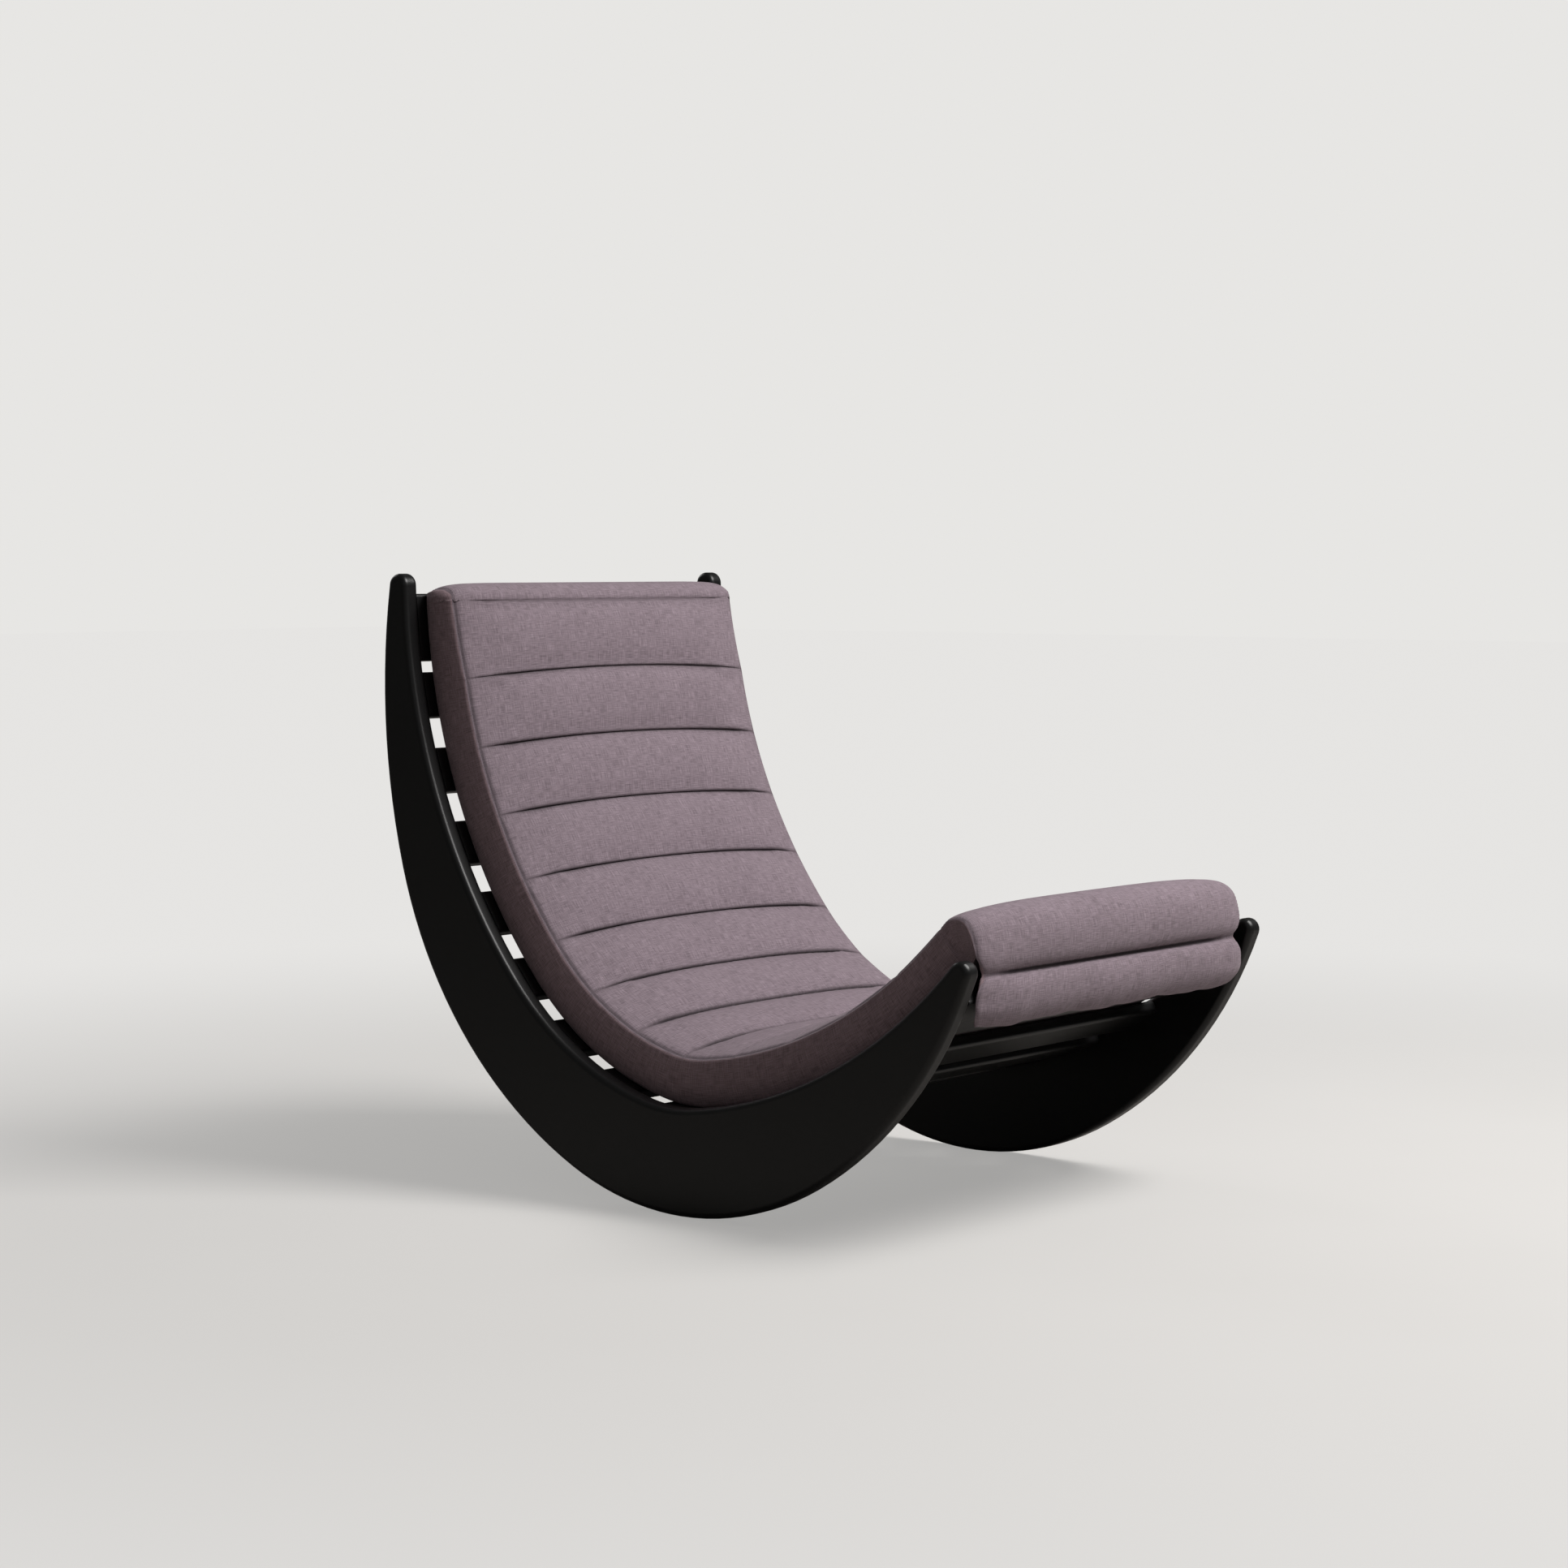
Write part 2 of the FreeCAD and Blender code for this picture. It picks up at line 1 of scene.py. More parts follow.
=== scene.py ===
# %% [markdown]
# This lesson dresses a rocking chaise lounge for its portrait. The real one is two crescent boards
# with slats between them, lacquered black, and one long quilted cushion that lies on the slats.
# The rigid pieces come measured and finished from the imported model, so they are loaded as they
# are. Only their finish and the soft cushion are made here.

import math

import bpy
import numpy as np
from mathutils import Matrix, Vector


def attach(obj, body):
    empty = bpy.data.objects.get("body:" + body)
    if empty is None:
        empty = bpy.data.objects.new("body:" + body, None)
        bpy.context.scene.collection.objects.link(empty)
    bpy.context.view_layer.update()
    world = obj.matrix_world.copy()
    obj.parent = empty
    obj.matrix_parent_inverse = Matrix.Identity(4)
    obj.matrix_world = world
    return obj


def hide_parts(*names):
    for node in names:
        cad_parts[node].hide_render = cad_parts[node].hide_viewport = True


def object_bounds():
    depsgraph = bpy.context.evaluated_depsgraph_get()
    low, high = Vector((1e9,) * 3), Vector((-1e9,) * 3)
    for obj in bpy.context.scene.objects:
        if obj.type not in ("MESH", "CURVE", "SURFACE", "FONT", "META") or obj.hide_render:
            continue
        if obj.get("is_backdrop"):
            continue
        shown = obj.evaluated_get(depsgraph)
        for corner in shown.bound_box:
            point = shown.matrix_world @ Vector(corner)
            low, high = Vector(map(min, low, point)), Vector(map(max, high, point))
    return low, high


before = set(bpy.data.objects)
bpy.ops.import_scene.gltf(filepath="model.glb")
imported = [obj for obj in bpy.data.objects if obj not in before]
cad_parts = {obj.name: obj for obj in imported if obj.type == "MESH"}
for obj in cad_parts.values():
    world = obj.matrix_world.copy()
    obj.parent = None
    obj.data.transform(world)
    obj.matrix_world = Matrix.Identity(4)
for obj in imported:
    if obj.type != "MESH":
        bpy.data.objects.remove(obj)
cad_low, cad_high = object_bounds()

# %% [markdown]
# The portrait is taken from the foot end, a little to the left, with a long lens at the height of
# the backrest. A long lens keeps both crescents nearly the same size. The camera is set by its
# place, its turn and its lens, so that the same view comes back on every run.

# %% Camera
CAMERA_PLACE = (-3.740, -2.978, 0.863)
CAMERA_PITCH_DOWN = math.radians(3.706)
CAMERA_TURN = math.radians(-50.90)
CAMERA_LENS_MM = 78.98
CAMERA_SENSOR_MM = 36.0

camera_data = bpy.data.cameras.new("portrait_camera")
camera_data.lens = CAMERA_LENS_MM
camera_data.sensor_width = CAMERA_SENSOR_MM
camera = bpy.data.objects.new("portrait_camera", camera_data)
camera.location = CAMERA_PLACE
camera.rotation_euler = (math.pi / 2 - CAMERA_PITCH_DOWN, 0.0, CAMERA_TURN)
bpy.context.scene.collection.objects.link(camera)
bpy.context.scene.camera = camera

# %% [markdown]
# Everything soft follows the hollow of the boards. That line is a chain of arcs that share their
# tangents, with the tightest arc under the sitter. A place on it is the length walked from the
# lowest point, towards the head when positive, and a height is measured square to it. With these
# two numbers the cushion can be drawn as if it lay flat on a bench.

# %% The seat line
SEAT_LOW_POINT = np.array([-0.02863, 0.143])
SEAT_ARCS_TO_HEAD = [(0.2336, 13.8), (0.4435, 35.7), (0.8571, 60.0)]
SEAT_ARCS_TO_FOOT = [(0.2336, 7.3), (0.6863, 60.0)]


def arc_table(arcs, side):
    """Start length, start slope, radius and centre of each arc on one side of the low point."""
    rows = []
    centre = SEAT_LOW_POINT + np.array([0.0, arcs[0][0]])
    length = 0.0
    slope = 0.0
    for number, (radius, sweep) in enumerate(arcs):
        if number:
            outward = np.array([side * math.sin(slope), -math.cos(slope)])
            centre = centre + outward * (arcs[number - 1][0] - radius)
        rows.append((length, slope, radius, centre))
        length += radius * math.radians(sweep)
        slope += math.radians(sweep)
    return rows


SEAT_TABLES = {1: arc_table(SEAT_ARCS_TO_HEAD, 1), -1: arc_table(SEAT_ARCS_TO_FOOT, -1)}


def seat_slope(places):
    """Slope of the seat line in radians, rising towards the head."""
    slopes = np.zeros(len(places))
    for side, table in SEAT_TABLES.items():
        for length, slope, radius, _ in table:
            here = places * side >= length
            slopes[here] = side * (slope + (places[here] * side - length) / radius)
    return slopes


def seat_points(places, heights):
    """Points in the side view, as rows of Y and Z, for places and heights in metres."""
    places = np.asarray(places, float)
    heights = np.broadcast_to(heights, places.shape)
    slopes = seat_slope(places)
    outward = np.stack([np.sin(slopes), -np.cos(slopes)], axis=1)
    points = np.zeros((len(places), 2))
    for side, table in SEAT_TABLES.items():
        for length, _, radius, centre in table:
            here = places * side >= length
            points[here] = centre + outward[here] * (radius - heights[here])[:, None]
    return points


print("seat line at both ends", seat_points(np.array([-0.53, 0.90]), 0.0).round(3).tolist())

# %% [markdown]
# The cushion is one sewn cover over a foam slab: a quilted panel on top, a band round each long
# side, and a plain base cloth that lies on the slats. Its top is described by rows from the head
# end to the end of the flap. Each row knows its line in the side view, the direction that is up
# for it, the point of the base under it, and how much it rises towards the middle. Between two
# seams the padding rises steeply and then lies almost flat, which is what sewn channels do. Where
# the cushion stands upright, the padding also sags a little over the seam below it, and the seams
# bow towards the head end in the middle.

# %% Sizes of the cushion
HALF_WIDTH = 0.301
BASE_HEIGHT = -0.0025
FIRST_SEAM = -0.5108
SEAM_PITCH = 0.10723
SEAM_COUNT = 13
SEAM_PLACES = FIRST_SEAM + SEAM_PITCH * np.arange(SEAM_COUNT)
HEAD_SEAM_PLACE = 0.893
SEAM_HEIGHT = 0.0745
EDGE_DROP = 0.0160
HEAD_SEAM_DROP = 0.0110
CHANNEL_PUFF = 0.0180
CHANNEL_SQUARENESS = 2.35
CHANNEL_SAG = 0.0055
SAG_REACH = 0.055
SAG_UPRIGHT_GAIN = 1.3
EDGE_SQUARENESS = 3.2
PUFF_DOME = 4.6
SEAM_BOW = 0.011
BOW_STARTS_AT = -0.1
BOW_FULL_AFTER = 0.4
BOW_FADES_OVER = 0.117

# %% [markdown]
# Past the last channel the cover rolls over the foot of the lounge, is nipped in by a fold, and
# hangs down as a flap. At the head it rounds over to the back. Both ends are drawn as a few control
# rows that a smooth spline passes through. Each row holds the line at the middle of the cushion,
# the point of the base cloth it belongs to, the drop towards the side, how square the side is,
# and how far the side is pulled in. A negative pull makes the roll and the flap wider than the
# rest, because nothing holds them between the boards.

# %% Control rows of the two ends
FOOT_ROWS = np.array([
    # Y, Z, base Y, base Z, drop, squareness, pulled in
    [-0.4215, 0.4123, -0.4786, 0.3599, 0.0160, 3.2, 0.0000],
    [-0.4385, 0.4275, -0.4815, 0.3630, 0.0150, 3.6, 0.0005],
    [-0.4590, 0.4350, -0.4845, 0.3663, 0.0170, 3.8, -0.0010],
    [-0.4780, 0.4337, -0.4872, 0.3694, 0.0185, 4.0, -0.0035],
    [-0.4935, 0.4245, -0.4895, 0.3715, 0.0190, 4.2, -0.0060],
    [-0.5033, 0.4095, -0.4910, 0.3725, 0.0185, 4.5, -0.0070],
    [-0.5078, 0.3905, -0.4925, 0.3735, 0.0170, 5.0, -0.0070],
    [-0.5070, 0.3715, -0.4935, 0.3720, 0.0130, 8.0, -0.0060],
    [-0.5035, 0.3590, -0.4935, 0.3600, 0.0080, 10.0, 0.0010],
    [-0.4970, 0.3500, -0.4935, 0.3500, 0.0025, 16.0, 0.0100],
    [-0.5025, 0.3440, -0.4935, 0.3440, 0.0070, 12.0, 0.0020],
    [-0.5068, 0.3320, -0.4935, 0.3320, 0.0105, 8.0, -0.0060],
    [-0.5075, 0.3170, -0.4935, 0.3190, 0.0120, 6.0, -0.0090],
    [-0.5045, 0.3030, -0.4938, 0.3080, 0.0100, 8.0, -0.0080],
    [-0.4985, 0.2910, -0.4920, 0.3020, 0.0090, 8.0, -0.0040],
    [-0.4905, 0.2830, -0.4880, 0.2970, 0.0070, 8.0, 0.0020],
    [-0.4820, 0.2815, -0.4825, 0.2915, 0.0030, 10.0, 0.0100],
])
FOLD_CREASE_ROW = 9
FLAP_SKEW = 0.001
HEAD_ROWS = np.array([
    # place, height, base place, drop, squareness, pulled in
    [0.9078, 0.0005, 0.9068, 0.0020, 12.0, 0.0020],
    [0.9150, 0.0060, 0.9066, 0.0060, 12.0, 0.0020],
    [0.9200, 0.0170, 0.9062, 0.0085, 12.0, 0.0025],
    [0.9218, 0.0310, 0.9056, 0.0105, 12.0, 0.0030],
    [0.9195, 0.0450, 0.9044, 0.0125, 10.0, 0.0025],
    [0.9125, 0.0570, 0.9020, 0.0145, 6.0, 0.0010],
    [0.9030, 0.0628, 0.8980, 0.0158, 4.0, 0.0003],
    [0.8930, 0.0645, 0.8930, 0.0162, 3.2, 0.0000],
])


def through(rows, steps_between):
    """A smooth spline through control rows, sampled evenly between each two of them."""
    padded = np.vstack([2 * rows[0] - rows[1], rows, 2 * rows[-1] - rows[-2]])
    made = []
    for number in range(len(rows) - 1):
        before, start, end, after = padded[number:number + 4]
        for step in range(steps_between):
            t = step / steps_between
            made.append(0.5 * (2 * start + (end - before) * t
                               + (2 * before - 5 * start + 4 * end - after) * t ** 2
                               + (3 * start - before - 3 * end + after) * t ** 3))
    made.append(rows[-1])
    return np.array(made)


def puff_across(share):
    """Rise of the padding from 0 at one seam over 1 between them to 0 at the next."""
    return np.sqrt(1 - np.abs(2 * share - 1) ** CHANNEL_SQUARENESS)


def sag_along(shares, places):
    """How far the padding just above a seam leans over it, where the cushion stands upright."""
    below = (1 - shares) / SAG_REACH
    upright = np.clip(np.sin(seat_slope(places)) * SAG_UPRIGHT_GAIN, 0, 1)
    return CHANNEL_SAG * upright * below * np.exp(1 - below)


HEAD_SWELL = 0.15
FOOT_SWELL = 0.35


def cushion_rows(shares, foot_steps, head_steps):
    """All rows from the head end to the end of the flap, as named columns."""
    head = through(HEAD_ROWS, head_steps)
    parts = [dict(
        line=seat_points(head[:, 0], head[:, 1]), base=seat_points(head[:, 2], BASE_HEIGHT),
        drop=head[:, 3], square=head[:, 4], pull=head[:, 5],
        puff=np.zeros(len(head)), seam=np.arange(len(head)) == len(head) - 1,
        bow=np.zeros(len(head)), sag=np.zeros(len(head)), hang=np.zeros(len(head)),
        swell=np.full(len(head), HEAD_SWELL))]
    seams = np.append(SEAM_PLACES, HEAD_SEAM_PLACE)[::-1]
    shares = np.asarray(shares)
    for start, end in zip(seams, seams[1:]):
        places = start + (end - start) * shares
        heights = SEAM_HEIGHT + np.zeros(len(shares))
        if start == HEAD_SEAM_PLACE:
            heights = heights - HEAD_SEAM_DROP * (1 - shares)
        bow_weight = np.clip((places - BOW_STARTS_AT) / BOW_FULL_AFTER, 0, 1)
        bow_weight = bow_weight * np.clip((HEAD_SEAM_PLACE - places) / BOW_FADES_OVER, 0, 1)
        parts.append(dict(
            line=seat_points(places, heights), base=seat_points(places, BASE_HEIGHT),
            drop=np.full(len(places), EDGE_DROP), square=np.full(len(places), EDGE_SQUARENESS),
            pull=np.zeros(len(places)), puff=CHANNEL_PUFF * puff_across(shares),
            seam=shares == 1.0, bow=SEAM_BOW * bow_weight, sag=sag_along(shares, places),
            swell=np.ones(len(places)), hang=np.zeros(len(places))))
    foot = through(FOOT_ROWS, foot_steps)[1:]
    control = np.arange(1, len(foot) + 1) / foot_steps
    nipped = control == FOLD_CREASE_ROW
    flap_rows = len(FOOT_ROWS) - 1 - FOLD_CREASE_ROW
    past_fold = np.clip((control - FOLD_CREASE_ROW) / flap_rows, 0, 1)
    parts.append(dict(
        line=foot[:, 0:2], base=foot[:, 2:4], drop=foot[:, 4], square=foot[:, 5],
        pull=foot[:, 6], puff=np.zeros(len(foot)), seam=nipped,
        bow=np.zeros(len(foot)), sag=np.zeros(len(foot)), hang=FLAP_SKEW * past_fold,
        swell=np.full(len(foot), FOOT_SWELL)))
    return {key: np.concatenate([part[key] for part in parts]) for key in parts[0]}


SIM_SHARES = [0.08, 0.17, 0.28, 0.39, 0.5, 0.61, 0.72, 0.83, 0.92, 1.0]
FINE_HALF = [0.012, 0.03, 0.055, 0.09, 0.135, 0.19, 0.25, 0.32, 0.41, 0.5]
FINE_SHARES = FINE_HALF + [1 - share for share in FINE_HALF[-2::-1]] + [1.0]
FINE_STEPS = 6
sim_rows = cushion_rows(SIM_SHARES, foot_steps=2, head_steps=1)
fine_rows = cushion_rows(FINE_SHARES, foot_steps=FINE_STEPS, head_steps=FINE_STEPS)
print("rows for the simulation", len(sim_rows["drop"]), "and for the cover", len(fine_rows["drop"]))

# %% [markdown]
# Each row becomes one ring round the cushion: over the top from left to right, down the right
# band, back along the base and up the left band. Rings of equal count join into one closed
# grid, so every point has a row and a column. That makes it easy to lay out the cloth's weave, to
# pin seams and to carry a simulated shape from a coarse grid to a fine one. The fine rings also
# get a groove along every seam, and a small ridge where the top and the bands are sewn together.

# %% Rings round the cushion
BAND_BULGE = 0.0085
FOOT_BULGE_SHARE = 0.55
FULL_BULGE_HEIGHT = 0.05
BULGE_SQUARENESS = 0.6
SIDE_RIDGE, SIDE_RIDGE_WIDTH = 0.0012, 0.0012
SIDE_GROOVE, SIDE_GROOVE_WIDTH = 0.0013, 0.0016
SIDE_GROOVE_FROM_EDGE = 0.0032
CHANNEL_GROOVE, CHANNEL_GROOVE_WIDTH = 0.0030, 0.0022
HEAD_GROOVE = 0.0009
HEAD_END_ROWS = FINE_STEPS * (len(HEAD_ROWS) - 1) + 3
BASE_INSET = 0.002


def along(rows):
    """Running length of the rows' line."""
    steps = np.linalg.norm(np.diff(rows["line"], axis=0), axis=1)
    return np.concatenate([[0.0], np.cumsum(steps)])


def across_shares(fine):
    """Columns over the top as shares of the half width, closer together at the sides."""
    if fine:
        from_side = np.array([0, 1.3, 2.6, 4.2, 6.5, 10, 15, 21, 28]) / 1000
        inner = np.linspace(0, HALF_WIDTH - 0.036, 40)
    else:
        from_side = np.array([0, 7, 16, 26]) / 1000
        inner = np.linspace(0, HALF_WIDTH - 0.038, 24)
    right = np.concatenate([inner, (HALF_WIDTH - from_side)[::-1]]) / HALF_WIDTH
    return np.concatenate([-right[:0:-1], right])


def band_shares(fine):
    """Columns down a side band as shares of its height."""
    if fine:
        return np.array([0.02, 0.045, 0.08, 0.14, 0.22, 0.32, 0.43, 0.54, 0.65, 0.76, 0.86, 0.94])
    return np.array([0.12, 0.3, 0.5, 0.7, 0.88])


def unit(vectors):
    return vectors / np.linalg.norm(vectors, axis=-1, keepdims=True)


def rings(rows, fine):
    """Points of every ring, shaped rows by columns by three, and the column kinds."""
    across = across_shares(fine)
    down = band_shares(fine)
    line = rows["line"]
    tangent = unit(np.gradient(line, axis=0))
    up = np.stack([tangent[:, 1], -tangent[:, 0]], axis=1)
    width = (HALF_WIDTH - rows["pull"])[:, None]
    share = np.abs(across)[None, :]
    rise = np.sqrt(np.clip(1 - share ** rows["square"][:, None], 0, 1))
    height = rows["drop"][:, None] * (rise - 1)
    dome = 1 - share ** PUFF_DOME
    height = height + rows["puff"][:, None] * dome
    forward = -rows["bow"][:, None] * (1 - share ** 2) + rows["sag"][:, None] * dome
    forward = forward - rows["hang"][:, None] * across[None, :]
    if fine:
        along_line = along(rows)
        from_seam = np.abs(along_line[:, None] - along_line[rows["seam"]][None, :]).min(axis=1)
        depth = np.full(len(line), CHANNEL_GROOVE)
        depth[:HEAD_END_ROWS] = HEAD_GROOVE
        depth = depth * np.exp(-(from_seam / CHANNEL_GROOVE_WIDTH) ** 2)
        height = height - depth[:, None] * dome
        from_side = (1 - share) * HALF_WIDTH
        at_seam = rows["swell"][:, None] ** 2
        in_groove = np.exp(-((from_side - SIDE_GROOVE_FROM_EDGE) / SIDE_GROOVE_WIDTH) ** 2)
        on_ridge = np.exp(-(from_side / SIDE_RIDGE_WIDTH) ** 2)
        height = height + at_seam * (SIDE_RIDGE * on_ridge - SIDE_GROOVE * in_groove)
    top = np.zeros((len(line), len(across), 3))
    top[:, :, 0] = across[None, :] * width
    for axis in (0, 1):
        top[:, :, axis + 1] = (line[:, axis:axis + 1] + up[:, axis:axis + 1] * height
                               + tangent[:, axis:axis + 1] * forward)
    base_width = HALF_WIDTH - 0.5 * rows["pull"] - BASE_INSET
    base = np.zeros_like(top)
    base[:, :, 0] = -across[None, :] * base_width[:, None]
    down_base = unit(np.gradient(rows["base"], axis=0))
    drawn = rows["hang"][:, None] * across[None, :]
    base[:, :, 1:] = rows["base"][:, None, :] + down_base[:, None, :] * drawn[:, :, None]
    edge = top[:, -1, :]
    foot = base[:, 0, :]
    span = np.linalg.norm(edge - foot, axis=1)
    at_foot = rows["swell"] == FOOT_SWELL
    bulge = BAND_BULGE * np.clip(span / FULL_BULGE_HEIGHT, 0, 1) * np.where(at_foot, FOOT_BULGE_SHARE, 1)
    bulge = bulge[:, None] * np.sin(math.pi * down) ** BULGE_SQUARENESS
    right = edge[:, None, :] + (foot - edge)[:, None, :] * down[None, :, None]
    right[:, :, 0] += bulge
    left_edge, left_foot = top[:, 0, :], base[:, -1, :]
    left = left_edge[:, None, :] + (left_foot - left_edge)[:, None, :] * down[None, ::-1, None]
    left[:, :, 0] -= bulge[:, ::-1]
    kinds = np.array([0] * len(across) + [1] * len(down) + [2] * len(across) + [1] * len(down))
    return np.concatenate([top, right, base, left], axis=1), kinds


sim_grid, sim_kinds = rings(sim_rows, fine=False)
print("points of the simulated grid", sim_grid.shape[0] * sim_grid.shape[1])

# %% [markdown]
# A closed grid needs faces between its rings and a cap at each end. The cap joins the top and base
# columns that face each other, so the cover has no hole. The winding is checked once by the
# volume it encloses, which is positive when faces point outwards.

# %% Faces of a closed grid
def grid_faces(row_count, kinds):
    """Quads between rings and over both ends, with the kind of cloth on each."""
    columns = len(kinds)
    top = int(np.sum(kinds == 0))
    down = int(np.sum(kinds == 1)) // 2
    faces = []
    cloth = []
    for row in range(row_count - 1):
        for column in range(columns):
            after = (column + 1) % columns
            here = row * columns
            there = here + columns
            faces.append((here + column, here + after, there + after, there + column))
            if column >= top - 1 and column < top + down:
                cloth.append(1)
            elif column < top - 1:
                cloth.append(0)
            elif column < 2 * top + down - 1:
                cloth.append(2)
            else:
                cloth.append(1)
    for row, flip in ((0, True), (row_count - 1, False)):
        here = row * columns
        right = list(range(top - 1, top + down + 1))
        left = [(2 * top + down - 1 + step) % columns for step in range(down + 2)]
        loops = [[here + column for column in right], [here + column for column in left]]
        for column in range(top - 1):
            under = 2 * top + down - 1 - column
            loops.append([here + column, here + column + 1, here + under - 1, here + under])
        for loop in loops:
            faces.append(tuple(loop[::-1] if flip else loop))
            cloth.append(2)
    return faces, cloth


def enclosed_volume(points, faces):
    total = 0.0
    for face in faces:
        for second, third in zip(face[1:], face[2:]):
            total += np.dot(points[face[0]], np.cross(points[second], points[third])) / 6
    return total


def mesh_object(name, points, faces):
    mesh = bpy.data.meshes.new(name)
    mesh.from_pydata(points.tolist(), [], faces)
    mesh.update()
    made = bpy.data.objects.new(name, mesh)
    bpy.context.scene.collection.objects.link(made)
    return made


sim_faces, _ = grid_faces(len(sim_grid), sim_kinds)
sim_volume = enclosed_volume(sim_grid.reshape(-1, 3), sim_faces)
print("cushion volume in litres", round(sim_volume * 1000, 1))

# %% [markdown]
# A real cover is tight where it is sewn and free to swell between. The coarse grid is turned into
# cloth, pinned along every seam, the sides' seams and the base, and blown up gently from the
# inside. What matters is only how far each point moves, so that the movement can be added to the
# fine grid later. The movement is capped, because the foam inside holds the cover down.

# %% Let the cover swell between its seams
SWELL_PRESSURE = 4.0
SWELL_FRAMES = 20
SWELL_CAP = 0.004
CLOTH_SLACK = -0.003


def pinned_columns(grid_rows, kinds):
    """One weight for each point of the grid: 1 where the cover is sewn or lies on the slats."""
    row_count = len(grid_rows["drop"])
    weights = np.zeros((row_count, len(kinds)))
    weights[:, kinds == 2] = 1.0
    top = int(np.sum(kinds == 0))
    weights[:, [0, top - 1]] = 1.0
    weights[grid_rows["seam"], :top] = 1.0
    weights[[0, -1], :] = 1.0
    return weights


def swell(grid, faces, weights):
    """Movement of every point of the grid when the pinned cover is blown up."""
    cover = mesh_object("swelling_cover", grid.reshape(-1, 3), faces)
    group = cover.vertex_groups.new(name="sewn")
    for number, weight in enumerate(weights.reshape(-1)):
        if weight > 0:
            group.add([number], float(weight), "REPLACE")
    cloth = cover.modifiers.new("swell", "CLOTH")
    settings = cloth.settings
    settings.quality = 6
    settings.mass = 0.3
    settings.tension_stiffness = 20
    settings.compression_stiffness = 12
    settings.shear_stiffness = 8
    settings.bending_stiffness = 0.4
    settings.vertex_group_mass = "sewn"
    settings.shrink_min = CLOTH_SLACK
    settings.use_pressure = True
    settings.uniform_pressure_force = SWELL_PRESSURE
    settings.effector_weights.gravity = 0.0
    cloth.collision_settings.use_self_collision = False
    scene = bpy.context.scene
    for number in range(1, SWELL_FRAMES + 1):
        scene.frame_set(number)
    evaluated = cover.evaluated_get(bpy.context.evaluated_depsgraph_get())
    moved = np.zeros(len(cover.data.vertices) * 3)
    evaluated.data.vertices.foreach_get("co", moved)
    scene.frame_set(1)
    bpy.data.objects.remove(cover)
    return moved.reshape(grid.shape) - grid


movement = np.zeros_like(sim_grid)
sewn = pinned_columns(sim_rows, sim_kinds)
movement = swell(sim_grid, sim_faces, sewn)
far = np.linalg.norm(movement, axis=2, keepdims=True)
movement = movement * np.minimum(1.0, SWELL_CAP / np.maximum(far, 1e-9))
movement[sewn > 0] = 0.0
side_hold = np.full(len(sim_kinds), 0.3)
side_hold[sim_kinds == 0] = np.clip((1 - np.abs(across_shares(False))) * 6, 0, 1)
movement = movement * sim_rows["swell"][:, None, None] * side_hold[None, :, None]
print("largest swelling before the cap, mm", round(float(far.max()) * 1000, 1))

# %% [markdown]
# The fine grid has rows and columns close to every seam, which the coarse one can't afford. The
# movement is read off the coarse grid with a smooth curve in both directions, so that no coarse
# square shows through, and added to the fine points.

# %% Carry the swelling over to the fine grid
def smooth_read(values, known, wanted):
    """Values on a smooth curve through known places, at wanted places, along the first axis."""
    number = np.clip(np.searchsorted(known, wanted) - 1, 0, len(known) - 2)
    share = (wanted - known[number]) / (known[number + 1] - known[number])
    share = np.clip(share, 0, 1).reshape((-1,) + (1,) * (values.ndim - 1))
    before = values[np.maximum(number - 1, 0)]
    start = values[number]
    end = values[number + 1]
    after = values[np.minimum(number + 2, len(known) - 1)]
    return 0.5 * (2 * start + (end - before) * share
                  + (2 * before - 5 * start + 4 * end - after) * share ** 2
                  + (3 * start - before - 3 * end + after) * share ** 3)


def on_fine_grid(coarse):
    """A coarse field of movements read at the fine grid's rows and columns."""
    rows = smooth_read(coarse, along(sim_rows), along(fine_rows))
    counts = [int(np.sum(sim_kinds == 0)), int(np.sum(sim_kinds == 1)) // 2]
    top_known, top_wanted = across_shares(False), across_shares(True)
    band_known = np.concatenate([[0], band_shares(False), [1]])
    band_wanted = band_shares(True)
    sides = rows.swapaxes(0, 1)
    top = smooth_read(sides[:counts[0]], top_known, top_wanted)
    right = smooth_read(sides[counts[0] - 1:sum(counts) + 1], band_known, band_wanted)
    base = np.zeros_like(top)
    left_start = 2 * counts[0] + counts[1] - 1
    left = np.concatenate([sides[left_start:], sides[:1]])
    left = smooth_read(left, band_known, 1 - band_wanted[::-1])
    return np.concatenate([top, right, base, left]).swapaxes(0, 1)


fine_grid, fine_kinds = rings(fine_rows, fine=True)
fine_grid = fine_grid + on_fine_grid(movement)
print("points of the cover", fine_grid.shape[0] * fine_grid.shape[1])

# %% [markdown]
# Cloth that is held by a line of stitches gathers a little on both sides of it, and the thin flap
# is never quite flat. Both are small waves of fixed frequencies, faded out away from the seams,
# so that they look the same on every run.

# %% Small gathers and waves
GATHER_DEPTH = 0.00035
GATHER_FROM_SEAM, GATHER_WIDTH = 0.007, 0.006
GATHER_TURNS = (410, 655)
FLAP_WAVE = 0.00132
FLAP_WAVE_TURNS = (27, 61, 118)
FLAP_WAVE_SLANT = 0.35
FLAP_LENGTH = 0.075

